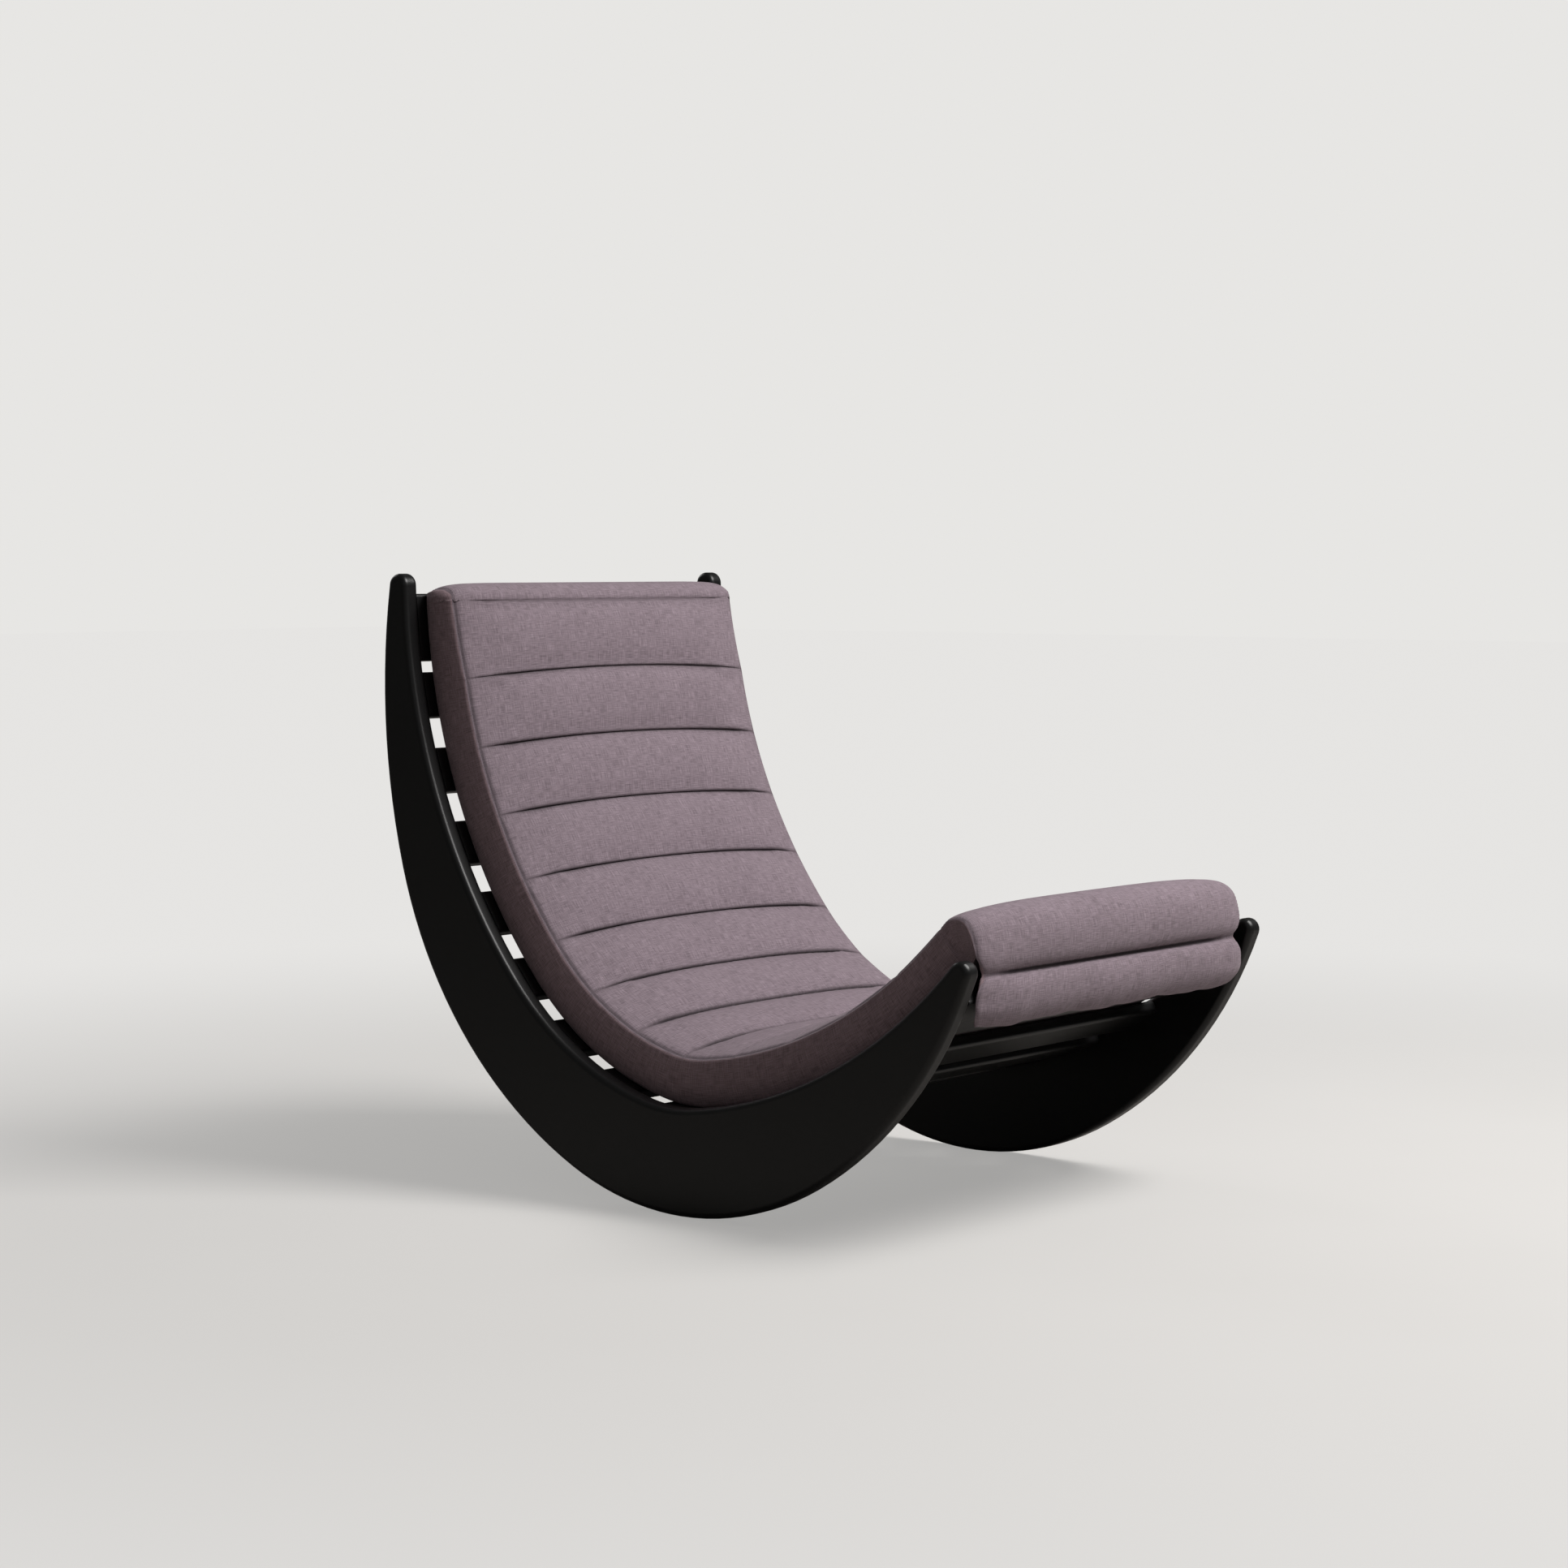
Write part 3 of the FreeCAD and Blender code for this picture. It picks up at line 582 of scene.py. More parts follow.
fine_across = across_shares(True)
across_now = np.concatenate([fine_across, np.zeros(len(fine_kinds) - len(fine_across))])
lengths = along(fine_rows)
seam_lengths = lengths[fine_rows["seam"]]
from_seam = np.abs(lengths[:, None] - seam_lengths[None, :])
nearest = from_seam.min(axis=1)
which = from_seam.argmin(axis=1)
line_tangent = unit(np.gradient(fine_rows["line"], axis=0))
line_up = np.stack([line_tangent[:, 1], -line_tangent[:, 0]], axis=1)
x_now = across_now * HALF_WIDTH
phase = which[:, None] * 1.7
ripple = np.sin(x_now[None, :] * GATHER_TURNS[0] + phase)
ripple = ripple + 0.6 * np.sin(x_now[None, :] * GATHER_TURNS[1] + 2 * phase)
fade = np.exp(-((nearest - GATHER_FROM_SEAM) / GATHER_WIDTH) ** 2)[:, None]
edge_fade = np.clip((1 - np.abs(across_now)) * 25, 0, 1)[None, :]
is_top = (fine_kinds == 0)[None, :]
lift = GATHER_DEPTH * ripple * fade * edge_fade * is_top
flap_start = lengths[-1] - FLAP_LENGTH
flap_share = np.clip((lengths - flap_start) / 0.02, 0, 1)[:, None]
slant = x_now[None, :] + FLAP_WAVE_SLANT * (lengths[:, None] - flap_start)
wave = np.sin(slant * FLAP_WAVE_TURNS[0] + 0.8) + 0.6 * np.sin(slant * FLAP_WAVE_TURNS[1] + 2.0)
wave = wave + 0.35 * np.sin(slant * FLAP_WAVE_TURNS[2])
lift = lift + FLAP_WAVE * wave * flap_share * edge_fade * is_top
fine_grid[:, :, 1:] += lift[:, :, None] * line_up[:, None, :]

# %% [markdown]
# The finished grid becomes the cover. Its weave has to run with the cloth, so the mesh carries its
# own map in metres: across and along on the top and base, and along the band on the sides. It
# also carries one number per point of painted shade, highest deep in a seam, where little light
# gets in, and weaker beside the channel seams. The three cloths are three material places on the
# same closed mesh.

# %% The cover as one closed mesh
fine_faces, fine_cloth = grid_faces(len(fine_grid), fine_kinds)
cover = mesh_object("cushion_cover", fine_grid.reshape(-1, 3), fine_faces)
print("cover volume in litres",
      round(enclosed_volume(fine_grid.reshape(-1, 3), fine_faces[:-2]) * 1000, 1))

BAND_ON_MAP = 0.06
BASE_ON_MAP = 0.5


def weave_map(mesh, kinds, row_lengths):
    """Lay a map in metres on the cloth: two numbers for every corner of every face."""
    columns = len(kinds)
    top = int(np.sum(kinds == 0))
    down = int(np.sum(kinds == 1)) // 2
    layer = mesh.uv_layers.new(name="weave")
    band_map = band_shares(True) * BAND_ON_MAP
    across_map = np.concatenate([fine_across * HALF_WIDTH, HALF_WIDTH + band_map,
                                 BASE_ON_MAP + fine_across * HALF_WIDTH,
                                 -HALF_WIDTH - band_map[::-1]])
    numbers = np.zeros(len(mesh.loops), int)
    mesh.loops.foreach_get("vertex_index", numbers)
    columns_of = numbers % columns
    rows_of = numbers // columns
    u_now = across_map[columns_of]
    v_now = row_lengths[rows_of]
    corner_counts = [len(face.vertices) for face in mesh.polygons]
    first = np.repeat([face.vertices[0] % columns for face in mesh.polygons], corner_counts)
    right_foot = (columns_of == top + down) & (first < top + down) & (first >= top - 1)
    u_now[right_foot] = HALF_WIDTH + BAND_ON_MAP
    left_foot = (columns_of == 2 * top + down - 1) & (first >= 2 * top + down - 1)
    u_now[left_foot] = -HALF_WIDTH - BAND_ON_MAP
    layer.data.foreach_set("uv", np.stack([u_now, v_now], axis=1).reshape(-1))


weave_map(cover.data, fine_kinds, lengths)

# Painted shade: these sizes darken the cloth in the channel seams, more weakly for about a centimetre on
# both sides of them, and in the groove beside the side seams.
SEAM_SHADE_WIDTH = 0.0030
SOFT_SHADE, SOFT_SHADE_WIDTH = 0.10, 0.0110
HEAD_SEAM_SHADE = 0.4
SIDE_SHADE, SIDE_SHADE_WIDTH = 0.8, 0.0016
SIDE_SHADE_FROM_EDGE = 0.0030


def painted_seam_shade(mesh, kinds, seam_distances):
    """Painted shade for each point, from 0 on the open cloth to 1 deep in a seam, where little light
    gets in.
    """
    across = across_shares(True)
    from_side = (1 - np.abs(across)) * HALF_WIDTH
    in_channel = np.exp(-(seam_distances / SEAM_SHADE_WIDTH) ** 2)[:, None]
    in_channel = in_channel + SOFT_SHADE * np.exp(-(seam_distances / SOFT_SHADE_WIDTH) ** 2)[:, None]
    in_channel = in_channel * np.clip((1 - np.abs(across)) * 5, 0.4, 1)[None, :]
    in_channel[:HEAD_END_ROWS] *= HEAD_SEAM_SHADE
    in_side = SIDE_SHADE * np.exp(-((from_side - SIDE_SHADE_FROM_EDGE) / SIDE_SHADE_WIDTH) ** 2)
    in_side = in_side[None, :] * fine_rows["swell"][:, None]
    shade = np.zeros((len(seam_distances), len(kinds)))
    shade[:, :len(across)] = np.maximum(in_channel, in_side)
    layer = mesh.attributes.new("painted_seam_shade", "FLOAT", "POINT")
    layer.data.foreach_set("value", shade.reshape(-1))


painted_seam_shade(cover.data, fine_kinds, nearest)
cover.data.polygons.foreach_set("material_index", fine_cloth)
cover.data.polygons.foreach_set("use_smooth", [True] * len(fine_cloth))

# %% [markdown]
# The cloth is a plain weave of uneven yarn in a greyed mauve. Up close it shows short lighter and
# darker streaks both ways, where a yarn is thicker, and from a step away it looks almost even.
# Two stretched noises make the streaks, a fine checker of waves makes the weave, and a little
# sheen gives the soft edge of the pile. All of it reads the map in metres. The bands are the same
# cloth in a browner piece, and the seams are darkened with painted shade by the number that the
# cover carries.

# %% Woven cloth
def new_material(name):
    material = bpy.data.materials.new(name)
    material.use_nodes = True
    material.node_tree.nodes.clear()
    output = material.node_tree.nodes.new("ShaderNodeOutputMaterial")
    shader = material.node_tree.nodes.new("ShaderNodeBsdfPrincipled")
    material.node_tree.links.new(shader.outputs["BSDF"], output.inputs["Surface"])
    return material, material.node_tree, shader


def stretched_noise(tree, source, stretch, detail=2.0):
    """Noise that is drawn out by its own amount in each direction."""
    mapping = tree.nodes.new("ShaderNodeMapping")
    mapping.inputs["Scale"].default_value = stretch
    noise = tree.nodes.new("ShaderNodeTexNoise")
    noise.inputs["Scale"].default_value = 1.0
    noise.inputs["Detail"].default_value = detail
    tree.links.new(source, mapping.inputs["Vector"])
    tree.links.new(mapping.outputs["Vector"], noise.inputs["Vector"])
    return noise.outputs["Fac"]


def calculate(tree, operation, first, second=None, third=None):
    node = tree.nodes.new("ShaderNodeMath")
    node.operation = operation
    for socket, value in zip(node.inputs, (first, second, third)):
        if value is None:
            continue
        if isinstance(value, (int, float)):
            socket.default_value = value
        else:
            tree.links.new(value, socket)
    return node.outputs[0]


def mix_colours(tree, share, first, second):
    node = tree.nodes.new("ShaderNodeMix")
    node.data_type = "RGBA"
    tree.links.new(share, node.inputs["Factor"])
    node.inputs["A"].default_value = (*first, 1.0)
    node.inputs["B"].default_value = (*second, 1.0)
    return node.outputs["Result"]


def mix_two(tree, share, first, second):
    """Mix the colour of a socket with a plain colour."""
    result = mix_colours(tree, share, (0.0, 0.0, 0.0), second)
    tree.links.new(first, result.node.inputs["A"])
    return result


YARN_ACROSS = 1000
YARN_ALONG = 60
PAINTED_SEAM_SHADE_DARKNESS = 0.30


def woven_cloth(name, dark, light, yarn_mm=0.9):
    material, tree, shader = new_material(name)
    source = tree.nodes.new("ShaderNodeUVMap")
    source.uv_map = "weave"
    weave = source.outputs["UV"]
    lengthwise = stretched_noise(tree, weave, (YARN_ACROSS, YARN_ALONG, 1), 1.0)
    crosswise = stretched_noise(tree, weave, (YARN_ALONG, YARN_ACROSS, 1), 1.0)
    cloudy = stretched_noise(tree, weave, (14, 14, 1), 3.0)
    streaks = calculate(tree, "ADD", lengthwise, crosswise)
    tone = calculate(tree, "MULTIPLY_ADD", streaks, 1.25, -0.75)
    tone = calculate(tree, "MULTIPLY_ADD", calculate(tree, "SUBTRACT", cloudy, 0.5), 0.25, tone)
    held = tree.nodes.new("ShaderNodeClamp")
    tree.links.new(tone, held.inputs["Value"])
    colour = mix_colours(tree, held.outputs["Result"], dark, light)
    # Painted shade: the colour is pulled towards a darker copy of the cloth where the cover's number for
    # seam shade is high.
    painted_shade_amount = tree.nodes.new("ShaderNodeAttribute")
    painted_shade_amount.attribute_name = "painted_seam_shade"
    deep = tuple(value * PAINTED_SEAM_SHADE_DARKNESS for value in dark)
    shaded = mix_two(tree, painted_shade_amount.outputs["Fac"], colour, deep)
    tree.links.new(shaded, shader.inputs["Base Color"])
    parts = tree.nodes.new("ShaderNodeSeparateXYZ")
    tree.links.new(weave, parts.inputs["Vector"])
    turns = 2 * math.pi / (2 * yarn_mm / 1000)
    warp = calculate(tree, "SINE", calculate(tree, "MULTIPLY", parts.outputs["X"], turns))
    weft = calculate(tree, "SINE", calculate(tree, "MULTIPLY", parts.outputs["Y"], turns))
    checker = calculate(tree, "MULTIPLY", calculate(tree, "MULTIPLY", warp, weft), 0.35)
    relief = calculate(tree, "MULTIPLY_ADD", streaks, 1.2, checker)
    bump = tree.nodes.new("ShaderNodeBump")
    bump.inputs["Strength"].default_value = 0.3
    bump.inputs["Distance"].default_value = 0.0004
    tree.links.new(relief, bump.inputs["Height"])
    tree.links.new(bump.outputs["Normal"], shader.inputs["Normal"])
    shader.inputs["Roughness"].default_value = 0.92
    shader.inputs["Specular IOR Level"].default_value = 0.25
    shader.inputs["Sheen Weight"].default_value = 0.18
    shader.inputs["Sheen Roughness"].default_value = 0.45
    shader.inputs["Sheen Tint"].default_value = (0.80, 0.70, 0.74, 1.0)
    return material


MAUVE_DARK = (0.135, 0.104, 0.121)
MAUVE_LIGHT = (0.335, 0.267, 0.307)
BROWN_DARK = (0.146, 0.100, 0.110)
BROWN_LIGHT = (0.355, 0.255, 0.280)
quilt_cloth = woven_cloth("quilt_cloth", MAUVE_DARK, MAUVE_LIGHT)
band_cloth = woven_cloth("band_cloth", BROWN_DARK, BROWN_LIGHT)
base_cloth = woven_cloth("base_cloth", (0.030, 0.027, 0.029), (0.065, 0.058, 0.061), 0.6)
for cloth_material in (quilt_cloth, band_cloth, base_cloth):
    cover.data.materials.append(cloth_material)

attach(cover, "cushion")
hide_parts("quilted_top_panel", "head_band", "side_band_left", "side_band_right",
            "base_panel", "foam_core")

# %% [markdown]
# Every seam is a row of short stitches in thread of the same mauve. Drawing them one by one would
# be slow and stiff, so one small node tree does it: it walks along a curve at even steps, sets
# a stitch on each step in the direction of the curve, makes the copies real and gives them the
# thread's finish.

# %% Stitches along a curve
def stitch_tree(material):
    tree = bpy.data.node_groups.new("stitches_along_seam", "GeometryNodeTree")
    face = tree.interface
    face.new_socket("Seam", in_out="INPUT", socket_type="NodeSocketGeometry")
    for name, value in (("Spacing", 0.005), ("Stitch Length", 0.0032), ("Thread Radius", 0.0003)):
        socket = face.new_socket(name, in_out="INPUT", socket_type="NodeSocketFloat")
        socket.default_value = value
    face.new_socket("Stitches", in_out="OUTPUT", socket_type="NodeSocketGeometry")
    nodes, links = tree.nodes, tree.links
    given = nodes.new("NodeGroupInput")
    result = nodes.new("NodeGroupOutput")
    steps = nodes.new("GeometryNodeResampleCurve")
    steps.mode = "LENGTH"
    links.new(given.outputs["Seam"], steps.inputs["Curve"])
    links.new(given.outputs["Spacing"], steps.inputs["Length"])
    stitch = nodes.new("GeometryNodeMeshUVSphere")
    stitch.inputs["Segments"].default_value = 6
    stitch.inputs["Rings"].default_value = 4
    stitch.inputs["Radius"].default_value = 1.0
    direction = nodes.new("GeometryNodeInputTangent")
    turn = nodes.new("FunctionNodeAlignRotationToVector")
    turn.axis = "X"
    links.new(direction.outputs["Tangent"], turn.inputs["Vector"])
    half = nodes.new("ShaderNodeMath")
    half.operation = "MULTIPLY"
    half.inputs[1].default_value = 0.5
    links.new(given.outputs["Stitch Length"], half.inputs[0])
    size = nodes.new("ShaderNodeCombineXYZ")
    links.new(half.outputs[0], size.inputs["X"])
    links.new(given.outputs["Thread Radius"], size.inputs["Y"])
    links.new(given.outputs["Thread Radius"], size.inputs["Z"])
    place = nodes.new("GeometryNodeInstanceOnPoints")
    links.new(steps.outputs["Curve"], place.inputs["Points"])
    links.new(stitch.outputs["Mesh"], place.inputs["Instance"])
    links.new(turn.outputs["Rotation"], place.inputs["Rotation"])
    links.new(size.outputs["Vector"], place.inputs["Scale"])
    real = nodes.new("GeometryNodeRealizeInstances")
    links.new(place.outputs["Instances"], real.inputs["Geometry"])
    finish = nodes.new("GeometryNodeSetMaterial")
    finish.inputs["Material"].default_value = material
    links.new(real.outputs["Geometry"], finish.inputs["Geometry"])
    links.new(finish.outputs["Geometry"], result.inputs["Stitches"])
    return tree


def seam_curves(name, lines):
    """One curve object with a straight-run spline for each line of points."""
    curve = bpy.data.curves.new(name, "CURVE")
    curve.dimensions = "3D"
    for points in lines:
        spline = curve.splines.new("POLY")
        spline.points.add(len(points) - 1)
        flat = np.concatenate([points, np.ones((len(points), 1))], axis=1)
        spline.points.foreach_set("co", flat.reshape(-1))
    made = bpy.data.objects.new(name, curve)
    bpy.context.scene.collection.objects.link(made)
    return made


def made_by_nodes(source, name, tree, **sizes):
    """Run a node tree on an object and keep the result as a plain mesh."""
    modifier = source.modifiers.new(name, "NODES")
    modifier.node_group = tree
    for item in tree.interface.items_tree:
        if item.in_out == "INPUT" and item.name in sizes:
            modifier[item.identifier] = sizes[item.name]
    evaluated = source.evaluated_get(bpy.context.evaluated_depsgraph_get())
    mesh = bpy.data.meshes.new_from_object(evaluated)
    bpy.data.objects.remove(source)
    mesh.name = name
    made = bpy.data.objects.new(name, mesh)
    bpy.context.scene.collection.objects.link(made)
    mesh.polygons.foreach_set("use_smooth", [True] * len(mesh.polygons))
    return made


def plain_finish(name, colour, roughness, metallic=0.0):
    """A finish with slight mottling of its colour, for thread and small hardware."""
    material, tree, shader = new_material(name)
    where = tree.nodes.new("ShaderNodeTexCoord")
    mottle = stretched_noise(tree, where.outputs["Object"], (400, 400, 400), 3.0)
    dark = tuple(value * 0.7 for value in colour)
    tree.links.new(mix_colours(tree, mottle, dark, colour), shader.inputs["Base Color"])
    shader.inputs["Roughness"].default_value = roughness
    shader.inputs["Metallic"].default_value = metallic
    return material


thread = plain_finish("mauve_thread", (0.20, 0.155, 0.17), 0.7)
top_count = int(np.sum(fine_kinds == 0))
inside = slice(3, top_count - 3)
sewn_rows = np.nonzero(fine_rows["seam"])[0][:-1]
channel_lines = [fine_grid[row, inside] for row in sewn_rows]
channel_stitches = made_by_nodes(seam_curves("channel_seams", channel_lines), "channel_stitches",
                                 stitch_tree(thread))
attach(channel_stitches, "cushion")

side_lines = [fine_grid[2:-2, column] for column in (2, top_count - 3)]
side_stitches = made_by_nodes(seam_curves("side_seams", side_lines), "side_stitches",
                              stitch_tree(thread))
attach(side_stitches, "cushion")
print("stitch faces", len(channel_stitches.data.polygons), len(side_stitches.data.polygons))

# %% [markdown]
# The boards, slats and rails are one satin black. Satin lacquer is a smooth dark film: it
# shows a soft, broad highlight, a faint orange peel, and places where hands and cloths have made it
# a little shinier or duller. The colour is therefore nearly flat, and the roughness and a very
# low bump do the work.

# %% Black lacquer and black steel
def black_film(name, colour, rough_low, rough_high, peel_per_metre, peel_height):
    material, tree, shader = new_material(name)
    where = tree.nodes.new("ShaderNodeTexCoord")
    place = where.outputs["Object"]
    wiped = stretched_noise(tree, place, (7, 7, 7), 4.0)
    fine = stretched_noise(tree, place, (peel_per_metre,) * 3, 2.0)
    lighter = tuple(value * 1.5 for value in colour)
    tree.links.new(mix_colours(tree, wiped, colour, lighter), shader.inputs["Base Color"])
    spread = calculate(tree, "MULTIPLY_ADD", wiped, rough_high - rough_low, rough_low)
    tree.links.new(spread, shader.inputs["Roughness"])
    bump = tree.nodes.new("ShaderNodeBump")
    bump.inputs["Strength"].default_value = 0.4
    bump.inputs["Distance"].default_value = peel_height
    tree.links.new(fine, bump.inputs["Height"])
    tree.links.new(bump.outputs["Normal"], shader.inputs["Normal"])
    shader.inputs["Specular IOR Level"].default_value = 0.38
    return material


lacquer = black_film("satin_black_lacquer", (0.0024, 0.0024, 0.0026), 0.30, 0.44, 700, 0.00006)
steel = black_film("black_coated_steel", (0.0060, 0.0060, 0.0062), 0.42, 0.58, 1600, 0.00010)


def dowel_wood():
    """Pale turned wood with the grain along the dowel, which lies across the lounge."""
    material, tree, shader = new_material("turned_dowel_wood")
    where = tree.nodes.new("ShaderNodeTexCoord")
    grain = stretched_noise(tree, where.outputs["Object"], (25, 900, 900), 4.0)
    colour = mix_colours(tree, grain, (0.42, 0.27, 0.14), (0.68, 0.50, 0.30))
    tree.links.new(colour, shader.inputs["Base Color"])
    shader.inputs["Roughness"].default_value = 0.6
    return material


wood = dowel_wood()
zip_cloth = plain_finish("zip_tape_cloth", (0.045, 0.040, 0.043), 0.85)
zip_metal = plain_finish("zip_metal", (0.45, 0.44, 0.42), 0.32, 1.0)

NODE_FINISHES = {"foot_rail": steel, "dowels_left": wood, "dowels_right": wood,
                 "zip_tape": zip_cloth, "zip_slider": zip_metal}
REPLACED = {"quilted_top_panel", "head_band", "side_band_left", "side_band_right", "base_panel",
            "foam_core"}
for name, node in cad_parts.items():
    if name in REPLACED:
        continue
    for slot in node.material_slots:
        slot.material = NODE_FINISHES.get(name, lacquer)
print("finished CAD nodes", len(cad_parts) - len(REPLACED))

# %% [markdown]
# The zip under the cushion lies in a gap between two slats. Its coil is a row of small loops that
# sit to the left and right of the middle in turn. The same kind of node tree as for the stitches
# sets them out, with the side taken from whether the number of a loop is even or odd.

# %% Zip coil
ZIP_PLACE = 0.0683
ZIP_HALF_LENGTH = 0.256
COIL_PITCH = 0.0013


def coil_tree(material):
    tree = bpy.data.node_groups.new("zip_coil", "GeometryNodeTree")
    face = tree.interface
    face.new_socket("Zip Line", in_out="INPUT", socket_type="NodeSocketGeometry")
    for name, value in (("Pitch", COIL_PITCH), ("Side Step", 0.0008), ("Loop Half Length", 0.0016)):
        socket = face.new_socket(name, in_out="INPUT", socket_type="NodeSocketFloat")
        socket.default_value = value
    face.new_socket("Coil", in_out="OUTPUT", socket_type="NodeSocketGeometry")
    nodes, links = tree.nodes, tree.links
    given = nodes.new("NodeGroupInput")
    result = nodes.new("NodeGroupOutput")
    steps = nodes.new("GeometryNodeResampleCurve")
    steps.mode = "LENGTH"
    links.new(given.outputs["Zip Line"], steps.inputs["Curve"])
    links.new(given.outputs["Pitch"], steps.inputs["Length"])
    number = nodes.new("GeometryNodeInputIndex")
    odd = calculate(tree, "MODULO", number.outputs["Index"], 2.0)
    side = calculate(tree, "MULTIPLY_ADD", odd, 2.0, -1.0)
    step = calculate(tree, "MULTIPLY", side, given.outputs["Side Step"])
    move = nodes.new("ShaderNodeCombineXYZ")
    links.new(step, move.inputs["Y"])
    shift = nodes.new("GeometryNodeSetPosition")
    links.new(steps.outputs["Curve"], shift.inputs["Geometry"])
    links.new(move.outputs["Vector"], shift.inputs["Offset"])
    loop = nodes.new("GeometryNodeMeshUVSphere")
    loop.inputs["Segments"].default_value = 6
    loop.inputs["Rings"].default_value = 4
    loop.inputs["Radius"].default_value = 1.0
    size = nodes.new("ShaderNodeCombineXYZ")
    size.inputs["X"].default_value = 0.0005
    size.inputs["Z"].default_value = 0.0006
    links.new(given.outputs["Loop Half Length"], size.inputs["Y"])
    place = nodes.new("GeometryNodeInstanceOnPoints")
    links.new(shift.outputs["Geometry"], place.inputs["Points"])
    links.new(loop.outputs["Mesh"], place.inputs["Instance"])
    links.new(size.outputs["Vector"], place.inputs["Scale"])
    real = nodes.new("GeometryNodeRealizeInstances")
    links.new(place.outputs["Instances"], real.inputs["Geometry"])
    finish = nodes.new("GeometryNodeSetMaterial")
    finish.inputs["Material"].default_value = material
    links.new(real.outputs["Geometry"], finish.inputs["Geometry"])
    links.new(finish.outputs["Geometry"], result.inputs["Coil"])
    return tree


zip_middle = seat_points(np.array([ZIP_PLACE]), BASE_HEIGHT - 0.0002)[0]
zip_line = np.array([[-ZIP_HALF_LENGTH, *zip_middle], [ZIP_HALF_LENGTH, *zip_middle]])
zip_coil = made_by_nodes(seam_curves("zip_line", [zip_line]), "zip_coil", coil_tree(zip_metal))
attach(zip_coil, "cushion")
print("zip coil faces", len(zip_coil.data.polygons))

# %% [markdown]
# A pale floor and a pale surround are all that the lounge needs. The floor is one large square
# that keeps the shadow, and the surround is the world, which the camera sees as a light warm
# grey. For the camera alone the floor also glows a little, more so with distance, so that it meets
# the surround without a line. Light that bounces off it sees a darker floor, as in a room with a
# concrete one. A window-like light from the right models the quilting, a weaker one from the front
# left keeps the near board from going flat, and a third one shows the slats from behind.

# %% Floor, surround and lights
FLOOR_SIZE = 60.0
FLOOR_BOUNCE_COLOUR = (0.34, 0.32, 0.30)
FLOOR_GLOW_COLOUR = (0.79, 0.78, 0.765)
GLOW_BY_DISTANCE = {"From Min": 0.7, "From Max": 3.2, "To Min": 0.45, "To Max": 1.0}


def pale_floor():
    half = FLOOR_SIZE / 2
    corners = np.array([[-half, -half, 0], [half, -half, 0], [half, half, 0], [-half, half, 0]])
    floor = mesh_object("pale_floor", corners, [(0, 1, 2, 3)])
    material, tree, shader = new_material("pale_floor")
    where = tree.nodes.new("ShaderNodeTexCoord")
    cloudy = stretched_noise(tree, where.outputs["Object"], (1.3, 1.3, 1.3), 4.0)
    colour = mix_colours(tree, cloudy, (0.66, 0.64, 0.615), (0.73, 0.715, 0.695))
    path = tree.nodes.new("ShaderNodeLightPath")
    unseen = calculate(tree, "SUBTRACT", 1.0, path.outputs["Is Camera Ray"])
    tree.links.new(mix_two(tree, unseen, colour, FLOOR_BOUNCE_COLOUR), shader.inputs["Base Color"])
    shader.inputs["Roughness"].default_value = 0.7
    glow = tree.nodes.new("ShaderNodeEmission")
    glow.inputs["Color"].default_value = (*FLOOR_GLOW_COLOUR, 1.0)
    distance = tree.nodes.new("ShaderNodeVectorMath")
    distance.operation = "LENGTH"
    tree.links.new(where.outputs["Object"], distance.inputs[0])
    far_away = tree.nodes.new("ShaderNodeMapRange")
    far_away.interpolation_type = "SMOOTHSTEP"
    tree.links.new(distance.outputs["Value"], far_away.inputs["Value"])
    for socket, value in GLOW_BY_DISTANCE.items():
        far_away.inputs[socket].default_value = value
    seen = calculate(tree, "MULTIPLY", path.outputs["Is Camera Ray"], far_away.outputs["Result"])
    mix = tree.nodes.new("ShaderNodeMixShader")
    tree.links.new(seen, mix.inputs["Fac"])
    tree.links.new(shader.outputs["BSDF"], mix.inputs[1])
    tree.links.new(glow.outputs["Emission"], mix.inputs[2])
    output = tree.get_output_node("ALL")
    tree.links.new(mix.outputs["Shader"], output.inputs["Surface"])
    floor.data.materials.append(material)
    return floor


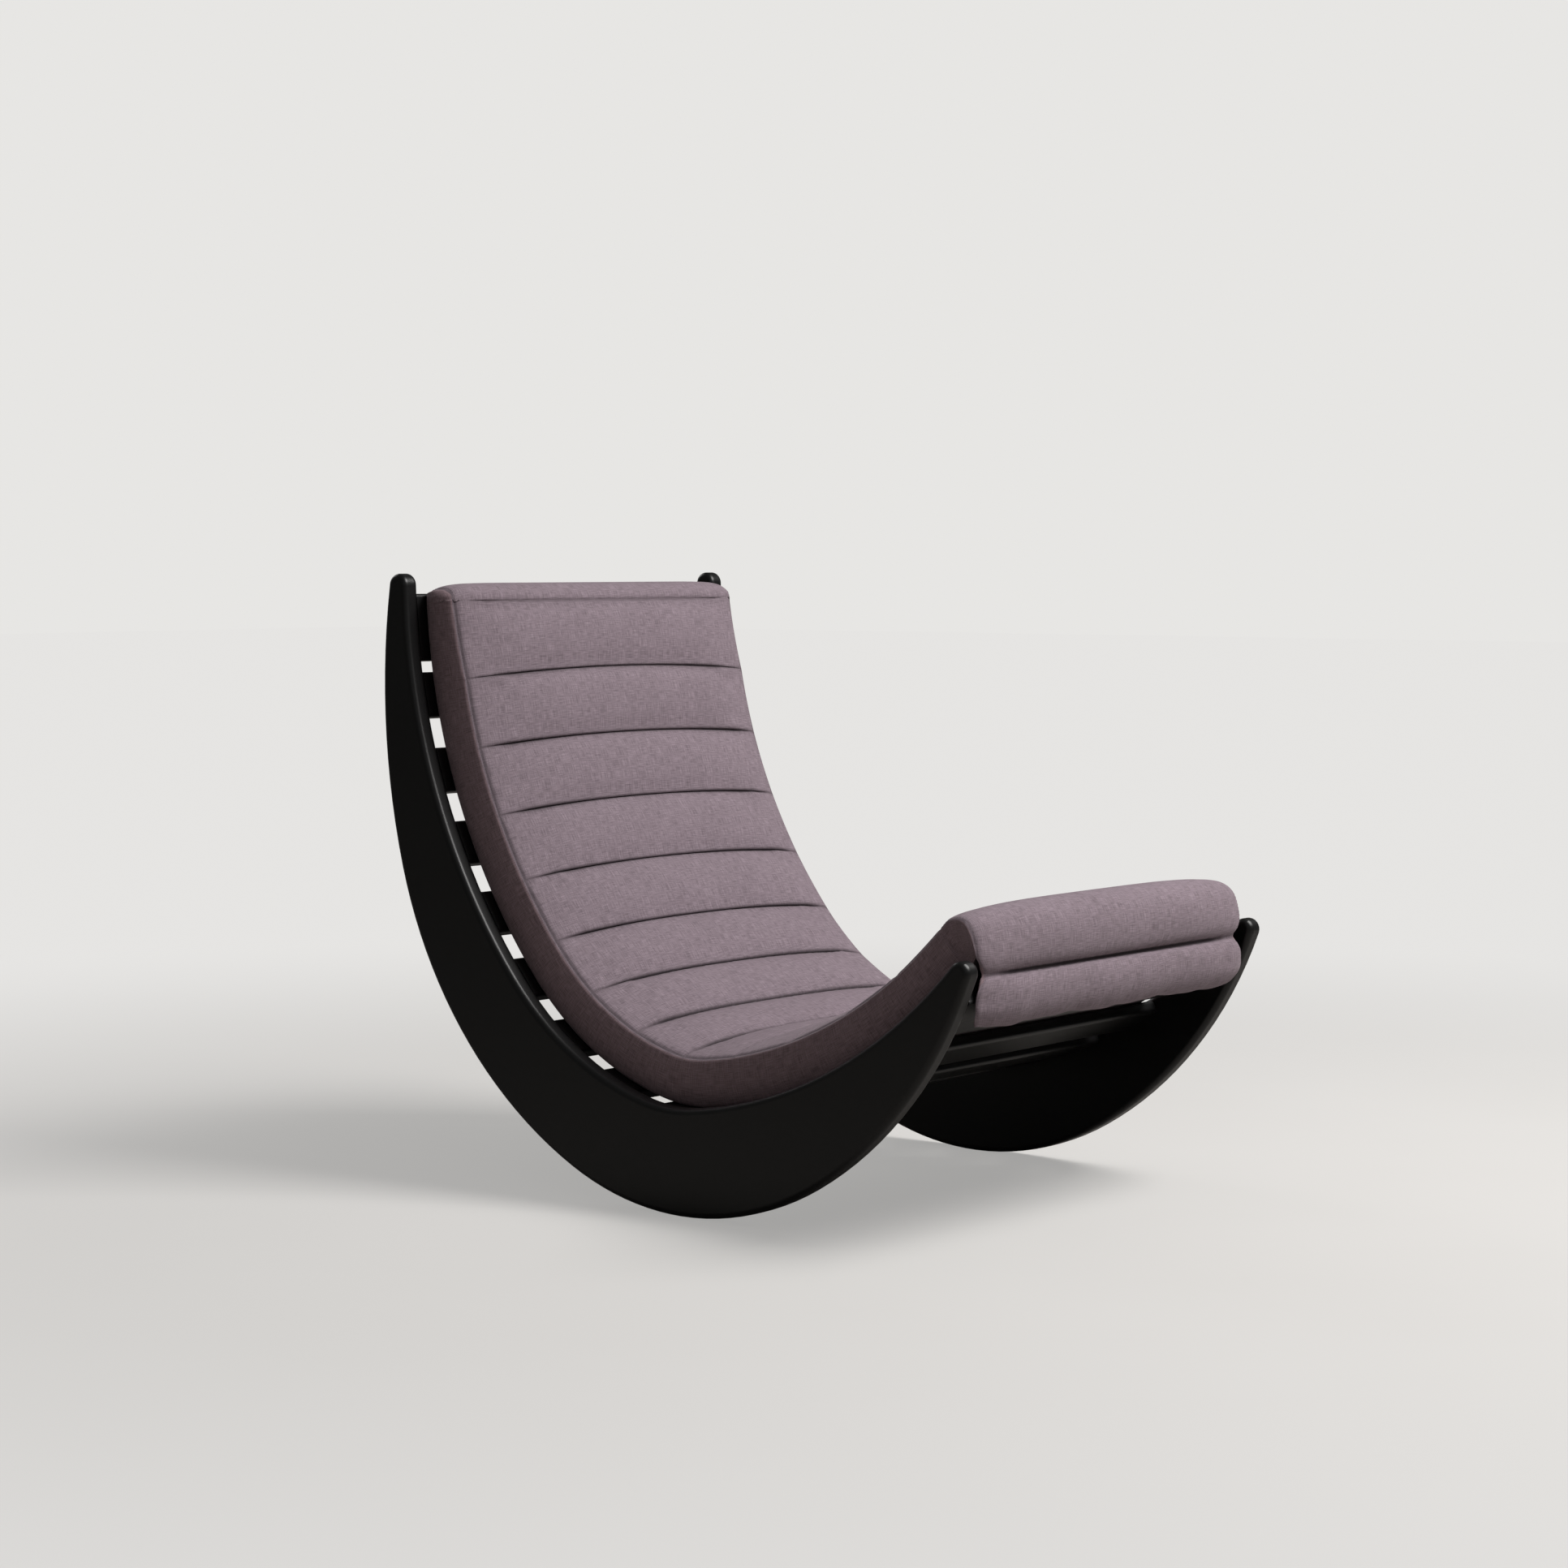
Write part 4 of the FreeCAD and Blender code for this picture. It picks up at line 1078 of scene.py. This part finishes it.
pale_floor()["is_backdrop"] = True


def surround(colour, light_strength, seen_strength):
    world = bpy.data.worlds.new("pale_surround")
    bpy.context.scene.world = world
    world.use_nodes = True
    tree = world.node_tree
    tree.nodes.clear()
    output = tree.nodes.new("ShaderNodeOutputWorld")
    lit = tree.nodes.new("ShaderNodeBackground")
    lit.inputs["Color"].default_value = (*colour, 1.0)
    lit.inputs["Strength"].default_value = light_strength
    seen = tree.nodes.new("ShaderNodeBackground")
    seen.inputs["Color"].default_value = (*colour, 1.0)
    seen.inputs["Strength"].default_value = seen_strength
    path = tree.nodes.new("ShaderNodeLightPath")
    mix = tree.nodes.new("ShaderNodeMixShader")
    tree.links.new(path.outputs["Is Camera Ray"], mix.inputs["Fac"])
    tree.links.new(lit.outputs["Background"], mix.inputs[1])
    tree.links.new(seen.outputs["Background"], mix.inputs[2])
    tree.links.new(mix.outputs["Shader"], output.inputs["Surface"])


surround((0.93, 0.92, 0.90), light_strength=0.13, seen_strength=0.86)


def soft_light(name, place, aim, size, power, colour):
    data = bpy.data.lights.new(name, "AREA")
    data.shape = "RECTANGLE"
    data.size, data.size_y = size
    data.energy = power
    data.color = colour
    lamp = bpy.data.objects.new(name, data)
    lamp.location = place
    toward = np.array(aim) - np.array(place)
    flat = math.hypot(toward[0], toward[1])
    turn = math.atan2(toward[1], toward[0]) - math.pi / 2
    lamp.rotation_euler = (math.atan2(flat, -toward[2]), 0.0, turn)
    bpy.context.scene.collection.objects.link(lamp)
    return lamp


soft_light("window_light", place=(1.25, -2.25, 3.5), aim=(0.0, -0.05, 0.45), size=(2.4, 1.9),
           power=196.0, colour=(1.0, 0.985, 0.97))
soft_light("left_fill", place=(-3.0, -2.6, 2.2), aim=(0.0, 0.0, 0.45), size=(2.0, 2.0),
           power=3.0, colour=(0.97, 0.98, 1.0))
soft_light("back_fill", place=(0.6, 3.6, 2.4), aim=(0.0, 0.1, 0.4), size=(2.4, 1.6),
           power=22.0, colour=(1.0, 1.0, 1.0))

bpy.context.scene.view_settings.view_transform = "Standard"

# %% [markdown]
# The dressed lounge has to stay the size of the imported one, apart from a little that cloth may
# stand proud. Both boxes are measured, and how much the dressed one has grown is printed.

# %% Sizes, and the end
made_low, made_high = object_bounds()
grown = (np.array(made_high - made_low) - np.array(cad_high - cad_low)) * 1000
print("grown by, mm", grown.round(1).tolist())
